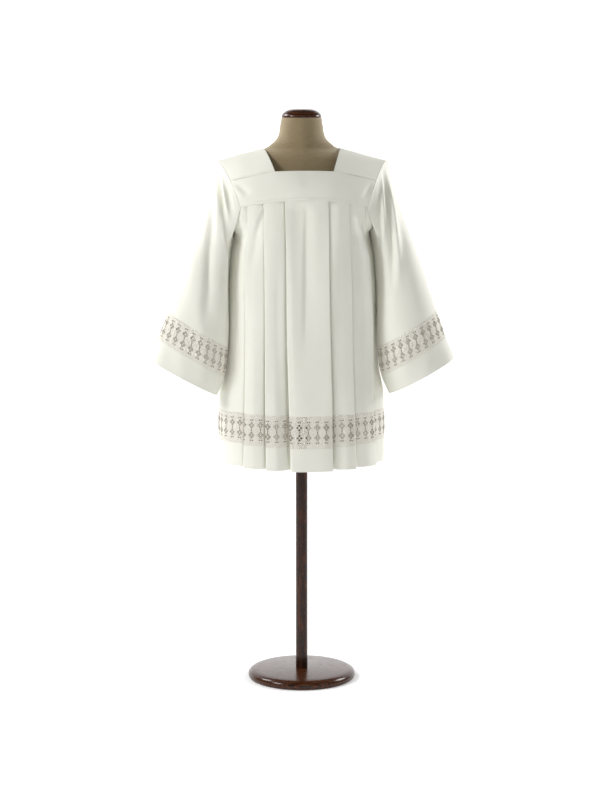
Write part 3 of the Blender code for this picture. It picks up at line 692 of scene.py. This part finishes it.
@functools.lru_cache(maxsize=None)
def lace_tile(height):
    """One repeat of the lace, cut flat, in millimetres.

    Its points, triangles, open edges, share of solid net and the loops that its cords follow.
    """
    width = LACE_PITCH * 1000
    holes, large = [], []
    middle = width / 2
    for row in (-1, 1):
        y = height / 2 + row * DIAMOND_ROW
        for dx, dy, half_width, half_height in DIAMOND_HOLES:
            large.append((middle + dx, y + dy, half_width, half_height))
        bow = height / 2 + row * (DIAMOND_ROW + BOW_BELOW)
        for dx in (-BOW_ACROSS, BOW_ACROSS):
            large.append((middle + dx, bow, *BOW_HOLE))
    large.append((middle, height / 2, *BAR_HOLE))
    cords = []
    for x, y, half_width, half_height in large:
        holes.append(rhombus(x, y, half_width, half_height))
        cords.append(oval(x, y, half_width - CORD_INSET, half_height - CORD_INSET))
    cords = np.array(cords)
    for k in range(EDGE_HOLES):
        for y in (EDGE_INSET, height - EDGE_INSET):
            x = width * (k + 0.5) / EDGE_HOLES
            large.append((x, y, *EDGE_HOLE))
            holes.append(rhombus(x, y, *EDGE_HOLE))
    draw = random.Random(7)
    rows = int((height - 10) / (NET_PITCH * 0.87))
    columns = int((width - 1.5) / NET_PITCH)
    for row in range(rows):
        for column in range(columns):
            x = 1.6 + (column + 0.5 * (row % 2)) * (width - 3.2) / (columns - 0.5)
            y = 6.0 + row * (height - 12) / (rows - 1)
            x += draw.uniform(-NET_SHIFT, NET_SHIFT)
            y += draw.uniform(-NET_SHIFT, NET_SHIFT)
            if not 1.5 < x < width - 1.5:
                continue
            if any(abs(x - a) / (c + NET_CLEARANCE) + abs(y - b) / (d + NET_CLEARANCE) < 1.06
                   for a, b, c, d in large):
                continue
            near = min((math.hypot(x - middle, y - height / 2 - s * DIAMOND_ROW), s) for s in (-1, 1))
            lean = math.atan2(y - height / 2 - near[1] * DIAMOND_ROW, x - middle) + math.pi / 2
            holes.append(rhombus(x, y, *NET_HOLE, lean + NET_LEAN * (-1) ** row, 4))
    side = [height * k / 14 for k in range(15)]
    ends = [width * k / 10 for k in range(1, 10)]
    outline = [(0, y) for y in side] + [(x, height) for x in ends] + [(width, y) for y in side[::-1]]
    outline += [(x, 0) for x in ends[::-1]]
    corners = list(outline)
    edges = [(i, (i + 1) % len(outline)) for i in range(len(outline))]
    for hole in holes:
        first = len(corners)
        corners += hole
        edges += [(first + i, first + (i + 1) % len(hole)) for i in range(len(hole))]
    flat, _, triangles, *_ = delaunay_2d_cdt(corners, edges, [], 0, 1e-7)
    flat = np.array([tuple(p) for p in flat])
    centres = flat[np.array([tuple(t) for t in triangles])].mean(axis=1)
    solid = np.ones(len(triangles), bool)
    for hole in holes:
        ring = np.array(hole)
        inside = np.ones(len(centres), bool)
        for start, end in zip(ring, np.roll(ring, -1, axis=0)):
            run = end - start
            way = centres - start
            inside &= run[0] * way[:, 1] - run[1] * way[:, 0] > 0
        solid &= ~inside
    kept = np.array([tuple(t) for t in triangles])[solid]
    rims = set()
    for triangle in kept.tolist():
        for start, end in zip(triangle, triangle[1:] + triangle[:1]):
            if (end, start) in rims:
                rims.discard((end, start))
            else:
                rims.add((start, end))
    on_side = (np.abs(flat[:, 0]) < 1e-6) | (np.abs(flat[:, 0] - width) < 1e-6)
    rims = np.array([rim for rim in sorted(rims) if not (on_side[rim[0]] and on_side[rim[1]])])
    parts = flat[kept]
    run_a, run_b = parts[:, 1] - parts[:, 0], parts[:, 2] - parts[:, 0]
    area = np.abs(run_a[:, 0] * run_b[:, 1] - run_a[:, 1] * run_b[:, 0]).sum() / 2
    return flat, kept, rims, area / (width * height), cords


def lace_band(name, sheet, materials, phase=0.0, thickness=LACE_SHELL):
    """Lace tiles set side by side along a sheet, and the cords on them, as two pieces.

    materials are the net's and the cords', the cords' dark colour being painted shade; phase is where
    a column's middle is.
    """
    net_material, painted_shade_cord_material = materials
    height = sheet.height * 1000
    flat, kept, rims, _, cords = lace_tile(round(height, 1))
    count = max(round(sheet.width / LACE_PITCH), 1)
    step = sheet.width / count
    start = (phase / step - 0.5) % 1.0 * step
    points, faces, cord_points, cord_faces = [], [], [], []
    offset = cord_offset = 0
    edges = [0.0] + [start + step * k for k in range(count) if 0 < start + step * k < sheet.width]
    edges.append(sheet.width)
    for left, right in zip(edges, edges[1:]):
        share = (right - left) / step
        if share < 0.02:
            continue
        along = left + flat[:, 0] / (LACE_PITCH * 1000) * (right - left)
        below = flat[:, 1] / height * sheet.height
        top, normals = sheet.at(along, below)
        size = len(flat)
        points.append(top)
        points.append(top - normals * thickness)
        faces.append(kept + offset)
        faces.append(kept[:, ::-1] + offset + size)
        a, b = rims[:, 0] + offset, rims[:, 1] + offset
        faces.append(np.stack((b, a, a + size), axis=1))
        faces.append(np.stack((b, a + size, b + size), axis=1))
        offset += 2 * size
        rings, bands = lace_cords(sheet, cords, left, (right - left) / LACE_PITCH)
        cord_points.append(rings)
        cord_faces.append(bands + cord_offset)
        cord_offset += len(rings)
    net = new_object(name, np.vstack(points), np.vstack(faces).tolist(), net_material, smooth=60)
    # The cords carry the dark painted shade round the holes
    raised = new_object(f"{name}_cords", np.vstack(cord_points), np.vstack(cord_faces).tolist(),
                        painted_shade_cord_material, smooth=180)
    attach(raised, "root")
    return net, raised


def lace_cords(sheet, cords, left, stretch):
    """Raised cords of one tile: closed loops on the lace, as rings of points and triangles."""
    along = left + cords[..., 0] / 1000 * stretch
    below = cords[..., 1] / 1000
    spine, normals = sheet.at(along.ravel(), below.ravel(), 0.0001)
    spine = spine.reshape(*along.shape, 3)
    normals = normals.reshape(spine.shape)
    runs = np.roll(spine, -1, axis=1) - np.roll(spine, 1, axis=1)
    across = np.cross(runs, normals)
    across /= np.maximum(np.linalg.norm(across, axis=-1)[..., None], 1e-9)
    turns = np.linspace(0, 2 * math.pi, CORD_SIDES, endpoint=False)
    rings = np.stack([spine + CORD_RADIUS * (across * math.cos(t) + normals * math.sin(t))
                      for t in turns], axis=2)
    loops, steps = along.shape
    index = np.arange(loops * steps * CORD_SIDES).reshape(loops, steps, CORD_SIDES)
    onward = np.roll(index, -1, axis=1)
    a, b = index, np.roll(index, -1, axis=2)
    c, d = np.roll(onward, -1, axis=2), onward
    halves = [np.stack((a, b, c), axis=-1), np.stack((a, c, d), axis=-1)]
    return rings.reshape(-1, 3), np.concatenate(halves).reshape(-1, 3)


# Materials

def socket_name(shader, *names):
    for name in names:
        if name in shader.inputs:
            return shader.inputs[name]
    raise KeyError(names)


class Nodes:
    """Short ways to add and link the nodes of one material."""

    def __init__(self, name):
        self.material = bpy.data.materials.new(name)
        self.material.use_nodes = True
        self.tree = self.material.node_tree
        self.shader = self.tree.nodes["Principled BSDF"]

    def add(self, kind, **values):
        node = self.tree.nodes.new(kind)
        for key, value in values.items():
            setattr(node, key, value)
        return node

    def link(self, source, target):
        self.tree.links.new(source, target)

    def coordinates(self, scale=(1, 1, 1)):
        place = self.add("ShaderNodeTexCoord")
        mapping = self.add("ShaderNodeMapping")
        mapping.inputs["Scale"].default_value = scale
        self.link(place.outputs["Object"], mapping.inputs["Vector"])
        return mapping.outputs["Vector"]

    def noise(self, vector, scale, detail=2.0, roughness=0.5):
        node = self.add("ShaderNodeTexNoise")
        node.inputs["Scale"].default_value = scale
        node.inputs["Detail"].default_value = detail
        node.inputs["Roughness"].default_value = roughness
        self.link(vector, node.inputs["Vector"])
        return node.outputs["Fac"]

    def wave(self, vector, scale, axis, distortion=0.0, detail=0.0):
        node = self.add("ShaderNodeTexWave", wave_type="BANDS", bands_direction=axis)
        node.inputs["Scale"].default_value = scale
        node.inputs["Distortion"].default_value = distortion
        node.inputs["Detail"].default_value = detail
        node.inputs["Detail Scale"].default_value = 1.0
        self.link(vector, node.inputs["Vector"])
        return node.outputs["Fac"]

    def math(self, operation, a, b):
        node = self.add("ShaderNodeMath", operation=operation)
        for target, value in zip(node.inputs, (a, b)):
            if isinstance(value, (int, float)):
                target.default_value = value
            else:
                self.link(value, target)
        return node.outputs[0]

    def ramp(self, value, stops):
        node = self.add("ShaderNodeValToRGB")
        elements = node.color_ramp.elements
        while len(elements) < len(stops):
            elements.new(0.5)
        for element, (place, colour) in zip(elements, stops):
            element.position = place
            element.color = (*colour, 1)
        self.link(value, node.inputs["Fac"])
        return node.outputs["Color"]

    def bump(self, height, strength, distance, before=None):
        node = self.add("ShaderNodeBump")
        node.inputs["Strength"].default_value = strength
        node.inputs["Distance"].default_value = distance
        self.link(height, node.inputs["Height"])
        if before is not None:
            self.link(before, node.inputs["Normal"])
        return node.outputs["Normal"]

    def set(self, **values):
        for key, value in values.items():
            socket_name(self.shader, key.replace("_", " ")).default_value = value


def cloth_material():
    """Smooth ivory polyester: a fine plain weave with a faint satin sheen."""
    nodes = Nodes("surplice_cloth")
    place = nodes.coordinates()
    tone = nodes.noise(place, 9.0, 3.0)
    colour = nodes.ramp(tone, ((0.3, (0.885, 0.880, 0.785)), (0.7, (0.912, 0.906, 0.820))))
    nodes.link(colour, nodes.shader.inputs["Base Color"])
    warp = nodes.wave(place, 420.0, "X", 0.4, 1.0)
    weft = nodes.wave(place, 420.0, "Z", 0.4, 1.0)
    weave = nodes.math("MULTIPLY", warp, weft)
    slub = nodes.noise(nodes.coordinates((260, 260, 26)), 1.0, 2.0)
    fine = nodes.bump(weave, 0.16, 0.0002)
    grain = nodes.bump(slub, 0.07, 0.0004, fine)
    nodes.link(grain, nodes.shader.inputs["Normal"])
    rough = nodes.math("MULTIPLY", tone, 0.16)
    nodes.link(nodes.math("ADD", rough, 0.50), nodes.shader.inputs["Roughness"])
    nodes.set(Sheen_Weight=0.18, Sheen_Roughness=0.35, IOR=1.45)
    nodes.shader.inputs["Specular IOR Level"].default_value = 0.35
    return nodes.material


def thread_material():
    """Ivory sewing thread, twisted and a little shinier than the cloth."""
    nodes = Nodes("surplice_thread")
    twist = nodes.wave(nodes.coordinates(), 900.0, "DIAGONAL")
    colour = nodes.ramp(twist, ((0.0, (0.80, 0.79, 0.73)), (1.0, (0.91, 0.90, 0.85))))
    nodes.link(colour, nodes.shader.inputs["Base Color"])
    nodes.link(nodes.bump(twist, 0.3, 0.0001), nodes.shader.inputs["Normal"])
    nodes.set(Roughness=0.42)
    return nodes.material


def lace_material(name, dark, light):
    """Lace yarn: ribbed thread in fine swirls; the net cream, slightly warmer than the cloth, the
    cords dark with painted shade.
    """
    nodes = Nodes(name)
    place = nodes.coordinates()
    yarn = nodes.noise(place, 1400.0, 2.0, 0.6)
    swirl = nodes.noise(place, 330.0, 2.0, 0.7)
    tone = nodes.math("ADD", nodes.math("MULTIPLY", yarn, 0.4), nodes.math("MULTIPLY", swirl, 0.6))
    colour = nodes.ramp(tone, ((0.38, dark), (0.62, light)))
    nodes.link(colour, nodes.shader.inputs["Base Color"])
    nodes.link(nodes.bump(tone, 0.6, 0.0005), nodes.shader.inputs["Normal"])
    nodes.set(Roughness=0.72, Sheen_Weight=0.15, Sheen_Roughness=0.5)
    return nodes.material


def linen_material():
    """Beige linen cover: crossed uneven yarns."""
    nodes = Nodes("form_linen")
    place = nodes.coordinates()
    warp = nodes.wave(nodes.coordinates((1, 1, 0.05)), 190.0, "X", 2.5, 2.0)
    weft = nodes.wave(place, 170.0, "Z", 2.0, 2.0)
    weave = nodes.math("ADD", nodes.math("MULTIPLY", warp, 0.5), nodes.math("MULTIPLY", weft, 0.5))
    slub = nodes.noise(nodes.coordinates((60, 60, 700)), 1.0, 3.0)
    tone = nodes.math("ADD", nodes.math("MULTIPLY", weave, 0.6), nodes.math("MULTIPLY", slub, 0.4))
    colour = nodes.ramp(tone, ((0.25, (0.18, 0.125, 0.058)), (0.75, (0.36, 0.28, 0.155))))
    nodes.link(colour, nodes.shader.inputs["Base Color"])
    nodes.link(nodes.bump(tone, 0.5, 0.0008), nodes.shader.inputs["Normal"])
    nodes.set(Roughness=0.82, Sheen_Weight=1.0, Sheen_Roughness=0.50)
    nodes.shader.inputs["Sheen Tint"].default_value = (1.0, 0.92, 0.74, 1)
    return nodes.material


def wood_material(name, grain):
    """Red-brown stained wood under clear lacquer, its grain along one axis."""
    nodes = Nodes(name)
    place = nodes.coordinates()
    rings = nodes.add("ShaderNodeTexWave", wave_type="RINGS", rings_direction=grain)
    rings.inputs["Scale"].default_value = 22.0
    rings.inputs["Distortion"].default_value = 5.0
    rings.inputs["Detail"].default_value = 3.0
    rings.inputs["Detail Scale"].default_value = 1.6
    ring_scale = [0.5 if axis == grain else 2.4 for axis in "XYZ"]
    pore_scale = [90 if axis == grain else 900 for axis in "XYZ"]
    nodes.link(nodes.coordinates(ring_scale), rings.inputs["Vector"])
    pores = nodes.noise(nodes.coordinates(pore_scale), 1.0, 2.0)
    tone = nodes.math("ADD", nodes.math("MULTIPLY", rings.outputs["Fac"], 0.7),
                      nodes.math("MULTIPLY", pores, 0.3))
    colour = nodes.ramp(tone, ((0.15, (0.020, 0.005, 0.001)), (0.85, (0.080, 0.022, 0.005))))
    nodes.link(colour, nodes.shader.inputs["Base Color"])
    nodes.link(nodes.bump(tone, 0.06, 0.0006), nodes.shader.inputs["Normal"])
    wear = nodes.noise(place, 40.0, 3.0)
    nodes.link(nodes.math("ADD", nodes.math("MULTIPLY", wear, 0.12), 0.20),
               nodes.shader.inputs["Roughness"])
    nodes.set(Coat_Weight=0.30, Coat_Roughness=0.10)
    nodes.shader.inputs["Specular IOR Level"].default_value = 0.2
    return nodes.material


# Cloth pieces

def finish_cloth(piece, nodes):
    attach(piece, "root")
    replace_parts(piece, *nodes)


def add_stitches(name, sheet, routes, thread):
    points, faces = stitches(sheet, routes)
    piece = new_object(name, points, faces, thread, smooth=180)
    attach(piece, "root")
    return piece


def raised_edges(lengths, places, width=0.0085, height=0.0012):
    """A flat welt along edges: how far it stands out at lengths across it."""
    rise = np.zeros_like(lengths)
    for place in places:
        away = np.abs(lengths - place)
        rise = np.maximum(rise, height * (1 - smooth_step((away - width + 0.0012) / 0.0012)))
    return rise


def straight_route(start, end, below, count=40):
    return [(along, below) for along in np.linspace(start, end, count)]


def build_yoke(cloth, thread):
    bands = (("front", 0.0, FRONT_BAND_TURN), ("back", BACK_BAND_TURN, 180.0))
    for name, low, high in bands:
        turns = np.linspace(high, low, 34) if name == "front" else np.linspace(low, high, 34)
        rows = []
        for turn in turns:
            x = np.linspace(-1, 1, 121) * armhole_reach(turn)
            rows.append(arch_points(x, turn))
        grid = np.array(rows)
        flat, area = cut_of(grid)
        face = FRONT if name == "front" else BACK
        normals = outward(grid)
        below = np.concatenate(((0.0,), np.cumsum(
            np.linalg.norm(np.diff(grid[:, 60], axis=0), axis=1))))
        rise = raised_edges(below, (below[-1],))[:, None]
        creases = YOKE_CREASES[face]
        push = crease_depth(grid[..., 0], grid[..., 2], creases)
        push += slow_waves(grid[..., 0], grid[..., 2], 3 + face, 0.0006, (0.11, 0.19))
        fade = np.sin(np.pi * np.clip(below / below[-1], 0, 1))[:, None] ** 0.5
        grid = grid + normals * (rise - push * fade)[..., None]
        piece = add_shell(f"surplice_yoke_{name}", grid, cloth, thickness=YOKE_SHELL)
        finish_cloth(piece, [f"yoke_{name}"])
        sheet = Sheet(grid)
        inset = 0.004
        routes = [straight_route(inset, sheet.width - inset, sheet.height - d, 90)
                  for d in (0.0015, 0.0075)]
        routes.append(straight_route(0.128, sheet.width - 0.128, 0.0045, 60))
        sewn = add_stitches(f"surplice_yoke_{name}_stitches", sheet, routes, thread)
    for name, side in (("left", LEFT), ("right", RIGHT)):
        rows = []
        for turn in np.linspace(FRONT_BAND_TURN + 0.1, BACK_BAND_TURN - 0.1, 76):
            x = np.linspace(neck_reach(turn), armhole_reach(turn), 42)
            rows.append(arch_points(side * x, turn))
        grid = np.array(rows)
        flat, area = cut_of(grid)
        normals = outward(grid)
        normals = normals if normals[38, 20, 2] > 0 else -normals
        across = np.linspace(0, 1, 42)[None, :]
        down = np.concatenate(((0.0,), np.cumsum(
            np.linalg.norm(np.diff(grid[:, 20], axis=0), axis=1))))
        rise = raised_edges(down, (0.0, down[-1]), 0.007, 0.0012)[:, None] * np.ones_like(across)
        push = slow_waves(grid[..., 0], grid[..., 1], 11 + side, 0.0007, (0.07, 0.13))
        fade = np.sin(np.pi * across) ** 0.5
        grid = grid + normals * (rise - push * fade)[..., None]
        piece_normals = normals_of(grid)
        if piece_normals[38, 20, 2] < 0:
            piece_normals = -piece_normals
        points, faces = shell_mesh(grid, piece_normals, YOKE_SHELL)
        piece = new_object(f"surplice_shoulder_{name}", points, faces, cloth)
        finish_cloth(piece, [f"shoulder_{name}"])
        sheet = Sheet(grid)
        sheet.normals = piece_normals
        routes = [straight_route(0.003, sheet.width - 0.003, d, 30)
                  for d in (0.0020, 0.0058, sheet.height - 0.0058, sheet.height - 0.0020)]
        routes.append([(0.0045, below) for below in np.linspace(0.004, sheet.height - 0.004, 60)])
        sewn = add_stitches(f"surplice_shoulder_{name}_stitches", sheet, routes, thread)


def skirt_grid(face):
    """The whole face, from the yoke to the hem, with its heights."""
    heights = [underarm_row(k / 20) for k in range(21)]
    heights += list(np.linspace(UNDERARM_HEIGHT, LACE_TOP, 48)[1:])
    heights += list(np.linspace(LACE_TOP, LACE_BOTTOM, 14)[1:])
    heights += list(np.linspace(LACE_BOTTOM, HEM_HEIGHT, 12)[1:])
    rows, plain = [], []
    for height in heights:
        along, depth, passed = pleat_path(face, height)
        plain.append(skirt_points(face, height, along, depth))
        x = skirt_points(face, height, along, 0.0)[:, 0]
        push = crease_depth(x, np.full_like(x, height), SKIRT_CREASES[face])
        push += slow_waves(x, np.full_like(x, height), 5 + face, 0.0012, (0.07, 0.12, 0.21))
        push += SKIRT_INSET
        edge = skirt_edge(height)
        fade = smooth_step((edge - np.abs(along)) / CREASE_FADE)
        fade *= smooth_step((SKIRT_SEAM_HEIGHT - height) / CREASE_FADE)
        swell = side_swell_at(height)[0] * (1 - smooth_step((edge - np.abs(along)) / SIDE_SWELL_WIDTH))
        row = skirt_points(face, height, along, depth + push * fade - swell)
        row[:, 2] += HEM_STEP * passed * smooth_step((HEM_STEP_FROM - height) / HEM_STEP_SPAN)
        rows.append(row)
    return np.array(rows), np.array(plain), heights


def tiers_of(keys, lace_from, lace_to):
    """Rows of the cloth, of its lace band and of its plain end, from keys that grow downwards."""
    keys = np.array(keys)
    close = 1e-6
    return (np.flatnonzero(keys <= lace_from + close),
            np.flatnonzero((keys >= lace_from - close) & (keys <= lace_to + close)),
            np.flatnonzero(keys >= lace_to - close))


def build_tiers(names, nodes, grids, rows, materials, middle=None):
    """Cloth, its lace band and its plain end, each hung on the one above.

    middle is where an upright line runs inside a sleeve, or None for an open face of the skirt.
    """
    closed = middle is not None
    middle = middle if closed else (0.0, 0.0)
    name, end_name = names
    upper_nodes, band_nodes, end_nodes = nodes
    grid, plain = grids
    upper_rows, band_rows, end_rows = rows
    cloth, lace, thread = materials
    upper = add_shell(name, grid[upper_rows], cloth, closed, middle)
    finish_cloth(upper, upper_nodes)
    flat, area = cut_of(plain[upper_rows], closed)
    band = Sheet(grid[band_rows], closed, middle)
    phase = 0.0 if closed else band.width / 2 + MOTIF_PHASE
    pierced, raised = lace_band(f"{name}_lace", band, lace, phase)
    finish_cloth(pierced, band_nodes)
    flat, area = cut_of(plain[band_rows], closed)
    share = lace_tile(round(band.height * 1000, 1))[3]
    end = add_shell(end_name, grid[end_rows], cloth, closed, middle, HEM_SHELL)
    finish_cloth(end, end_nodes)
    end_sheet = Sheet(grid[end_rows], closed, middle)
    inset, count = (0, 200) if closed else (0.003, 400)
    routes = [straight_route(inset, end_sheet.width - inset, HEM_STITCHES_BELOW, count)]
    sewn = add_stitches(f"{end_name}_stitches", end_sheet, routes, thread)
    flat, area = cut_of(plain[end_rows], closed)


def build_skirt(*materials):
    for name, face in (("front", FRONT), ("back", BACK)):
        grid, plain, heights = skirt_grid(face)
        rows = tiers_of(-np.array(heights), -LACE_TOP, -LACE_BOTTOM)
        build_tiers((f"surplice_{name}", f"surplice_{name}_hem"),
                    ([f"{name}_body"], [f"{name}_lace"], [f"{name}_hem"]),
                    (grid, plain), rows, materials)


def sleeve_pieces_grid(side):
    alongs = list(np.linspace(0, 0.16, 26)) + list(np.linspace(0.16, SLEEVE_LACE_TOP, 54)[1:])
    alongs += list(np.linspace(SLEEVE_LACE_TOP, SLEEVE_LACE_BOTTOM, 14)[1:])
    alongs += list(np.linspace(SLEEVE_LACE_BOTTOM, 1.0, 12)[1:])
    alongs = np.array(alongs)
    plain = sleeve_grid(side, alongs)
    grid = plain
    middle = (side * 0.26, -0.03)
    normals = outward(grid, True, middle)
    push = np.zeros(grid.shape[:2])
    forward = np.array([sleeve_at(along)[5] for along in alongs])[:, None]
    for face in (FRONT, BACK):
        facing = smooth_step(face * (grid[..., 1] + forward) / CREASE_FADE)
        push += facing * crease_depth(grid[..., 0], grid[..., 2], SLEEVE_CREASES[side, face])
    push += slow_waves(grid[..., 0], grid[..., 2], 21 + side, 0.0012, (0.06, 0.11, 0.2))
    fade = smooth_step(alongs / 0.05)[:, None]
    grid = grid - normals * (push * fade)[..., None]
    return grid, plain, alongs, middle


def build_sleeves(*materials):
    for name, side in (("left", LEFT), ("right", RIGHT)):
        grid, plain, alongs, middle = sleeve_pieces_grid(side)
        rows = tiers_of(alongs, SLEEVE_LACE_TOP, SLEEVE_LACE_BOTTOM)
        halves = [f"sleeve_lace_{name}_front", f"sleeve_lace_{name}_back"]
        build_tiers((f"surplice_sleeve_{name}", f"surplice_cuff_{name}"),
                    ([f"sleeve_{name}"], halves, [f"cuff_{name}"]),
                    (grid, plain), rows, materials, middle)


# Dress form and stand

def superellipse(half_width, half_depth, squareness, count):
    angle = np.linspace(0, 2 * math.pi, count, endpoint=False)
    x = np.copysign(half_width * np.abs(np.cos(angle)) ** (2 / squareness), np.cos(angle))
    y = np.copysign(half_depth * np.abs(np.sin(angle)) ** (2 / squareness), np.sin(angle))
    return x, y


def build_form(linen):
    rings = list(FORM_TORSO)
    for reach in FORM_SHOULDER_REACHES:
        height = float(ridge_height(reach)) - YOKE_CLOTH - FORM_CLEARANCE
        past_neck = reach - FORM_SHOULDER_REACHES[-1]
        depth = FORM_SHOULDER_DEPTH_AT_NECK + past_neck * FORM_SHOULDER_DEPTH_GROWTH
        rings.append((height, reach, depth, FORM_SHOULDER_SQUARENESS))
    rings += FORM_NECK
    at = curve_through(rings)
    keys = sorted(ring[0] for ring in rings)
    heights = []
    for low, high in zip(keys, keys[1:]):
        heights += list(np.linspace(low, high, max(2, int((high - low) / 0.006) + 2))[:-1])
    heights.append(keys[-1])
    points, faces = [], []
    count = 128
    for height in heights:
        x, y = superellipse(*at(height), count)
        points += list(np.stack((x, y, np.full(count, height)), axis=1))
    for row in range(len(heights) - 1):
        for k in range(count):
            a, b = row * count + k, row * count + (k + 1) % count
            faces.append((a, b, b + count, a + count))
    faces.append(tuple(range(count))[::-1])
    faces.append(tuple(range(len(points) - count, len(points))))
    piece = new_object("linen_form", points, faces, linen)
    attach(piece, "root")
    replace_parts(piece, "dress_form")


def turned(name, profile, material, sides=128):
    """A turned piece from radii and heights, smoothed between them."""
    profile = np.array(profile)
    length = np.concatenate(((0.0,), np.cumsum(np.linalg.norm(np.diff(profile, axis=0), axis=1))))
    at = curve_through([(l, *p) for l, p in zip(length, profile)])
    rows = np.array([at(l) for l in np.linspace(0, length[-1], 40)])
    angle = np.linspace(0, 2 * math.pi, sides, endpoint=False)
    points = [(r * math.cos(a), r * math.sin(a), z) for r, z in rows for a in angle]
    faces = []
    for row in range(len(rows) - 1):
        for k in range(sides):
            a, b = row * sides + k, row * sides + (k + 1) % sides
            faces.append((a, b, b + sides, a + sides))
    faces.append(tuple(range(sides))[::-1])
    faces.append(tuple(range(len(points) - sides, len(points))))
    piece = new_object(name, points, faces, material, smooth=35)
    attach(piece, "root")
    return piece


def build_stand():
    wood = wood_material("stand_wood", "X")
    upright = wood_material("pole_wood", "Z")
    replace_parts(turned("turned_neck_cap", CAP_PROFILE, wood), "neck_cap")
    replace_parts(turned("turned_base", BASE_PROFILE, wood), "stand_base")
    low, high = BASE_TOP + SEAM_GAP, FORM_TORSO[0][0] - SEAM_GAP
    pole = ((POLE_RADIUS, low), (POLE_RADIUS, (low + high) / 2), (POLE_RADIUS, high))
    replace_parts(turned("turned_pole", pole, upright, 64), "stand_pole")


# Stage

def build_camera():
    azimuth = math.radians(CAMERA_AZIMUTH)
    away = (math.sin(azimuth), -math.cos(azimuth))
    right = (math.cos(azimuth), math.sin(azimuth))
    data = bpy.data.cameras.new("camera")
    data.lens = LENS
    data.sensor_width = 36
    data.clip_end = 60
    camera = bpy.data.objects.new("camera", data)
    camera.location = (CAMERA_DISTANCE * away[0] + CAMERA_SHIFT * right[0],
                       CAMERA_DISTANCE * away[1] + CAMERA_SHIFT * right[1], CAMERA_HEIGHT)
    camera.rotation_euler = (math.radians(90 - CAMERA_PITCH), 0, azimuth)
    bpy.context.collection.objects.link(camera)
    bpy.context.scene.camera = camera


def build_lights():
    for name, place, size, power in LIGHTS:
        data = bpy.data.lights.new(name, "AREA")
        data.shape = "SQUARE"
        data.size = size
        data.energy = power
        light = bpy.data.objects.new(name, data)
        light.location = place
        aim = np.array((0, 0, 1.1)) - np.array(place)
        light.rotation_euler = (math.atan2(math.hypot(aim[0], aim[1]), -aim[2]), 0,
                                math.atan2(aim[1], aim[0]) - math.pi / 2)
        bpy.context.collection.objects.link(light)
    world = bpy.data.worlds.new("studio")
    world.use_nodes = True
    background = world.node_tree.nodes["Background"]
    background.inputs["Color"].default_value = (1, 1, 1, 1)
    background.inputs["Strength"].default_value = WORLD_LIGHT
    bpy.context.scene.world = world


def build_floor():
    """A pale floor that curves up into a wall behind."""
    profile = [(-9.0, 0.0), (WALL_FOOT, 0.0)]
    for step in range(1, 13):
        angle = math.pi / 2 * step / 12
        profile.append((WALL_FOOT + WALL_BEND * math.sin(angle), WALL_BEND * (1 - math.cos(angle))))
    profile.append((WALL_FOOT + WALL_BEND, 9.0))
    points = [(x, y, z) for y, z in profile for x in (-14, 14)]
    faces = [(2 * k, 2 * k + 1, 2 * k + 3, 2 * k + 2) for k in range(len(profile) - 1)]
    nodes = Nodes("floor_paper")
    tone = nodes.noise(nodes.coordinates(), 1.5, 2.0)
    colour = nodes.ramp(tone, ((0.3, (0.93, 0.93, 0.93)), (0.7, (0.96, 0.96, 0.96))))
    nodes.link(colour, nodes.shader.inputs["Base Color"])
    nodes.set(Roughness=0.9, Emission_Color=(1, 1, 1, 1))
    place = nodes.add("ShaderNodeSeparateXYZ")
    nodes.link(nodes.coordinates(), place.inputs[0])
    glow = nodes.add("ShaderNodeMapRange", interpolation_type="SMOOTHSTEP")
    for socket, value in zip(("From Min", "From Max", "To Min", "To Max"), FLOOR_GLOW):
        glow.inputs[socket].default_value = value
    nodes.link(place.outputs["Y"], glow.inputs["Value"])
    nodes.link(glow.outputs["Result"], nodes.shader.inputs["Emission Strength"])
    floor = new_object("floor", points, faces, nodes.material)


def main():
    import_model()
    bpy.context.scene.view_settings.view_transform = "Standard"
    cloth, thread = cloth_material(), thread_material()
    lace = (lace_material("surplice_lace", (0.72, 0.68, 0.58), (0.96, 0.94, 0.87)),
            # The cords' dark brown is painted shade round the lace's holes
            lace_material("surplice_lace_cord_painted_shade", (0.20, 0.165, 0.11), (0.42, 0.37, 0.28)))
    build_yoke(cloth, thread)
    build_skirt(cloth, lace, thread)
    build_sleeves(cloth, lace, thread)
    build_form(linen_material())
    build_stand()
    build_floor()
    build_lights()
    build_camera()


main()
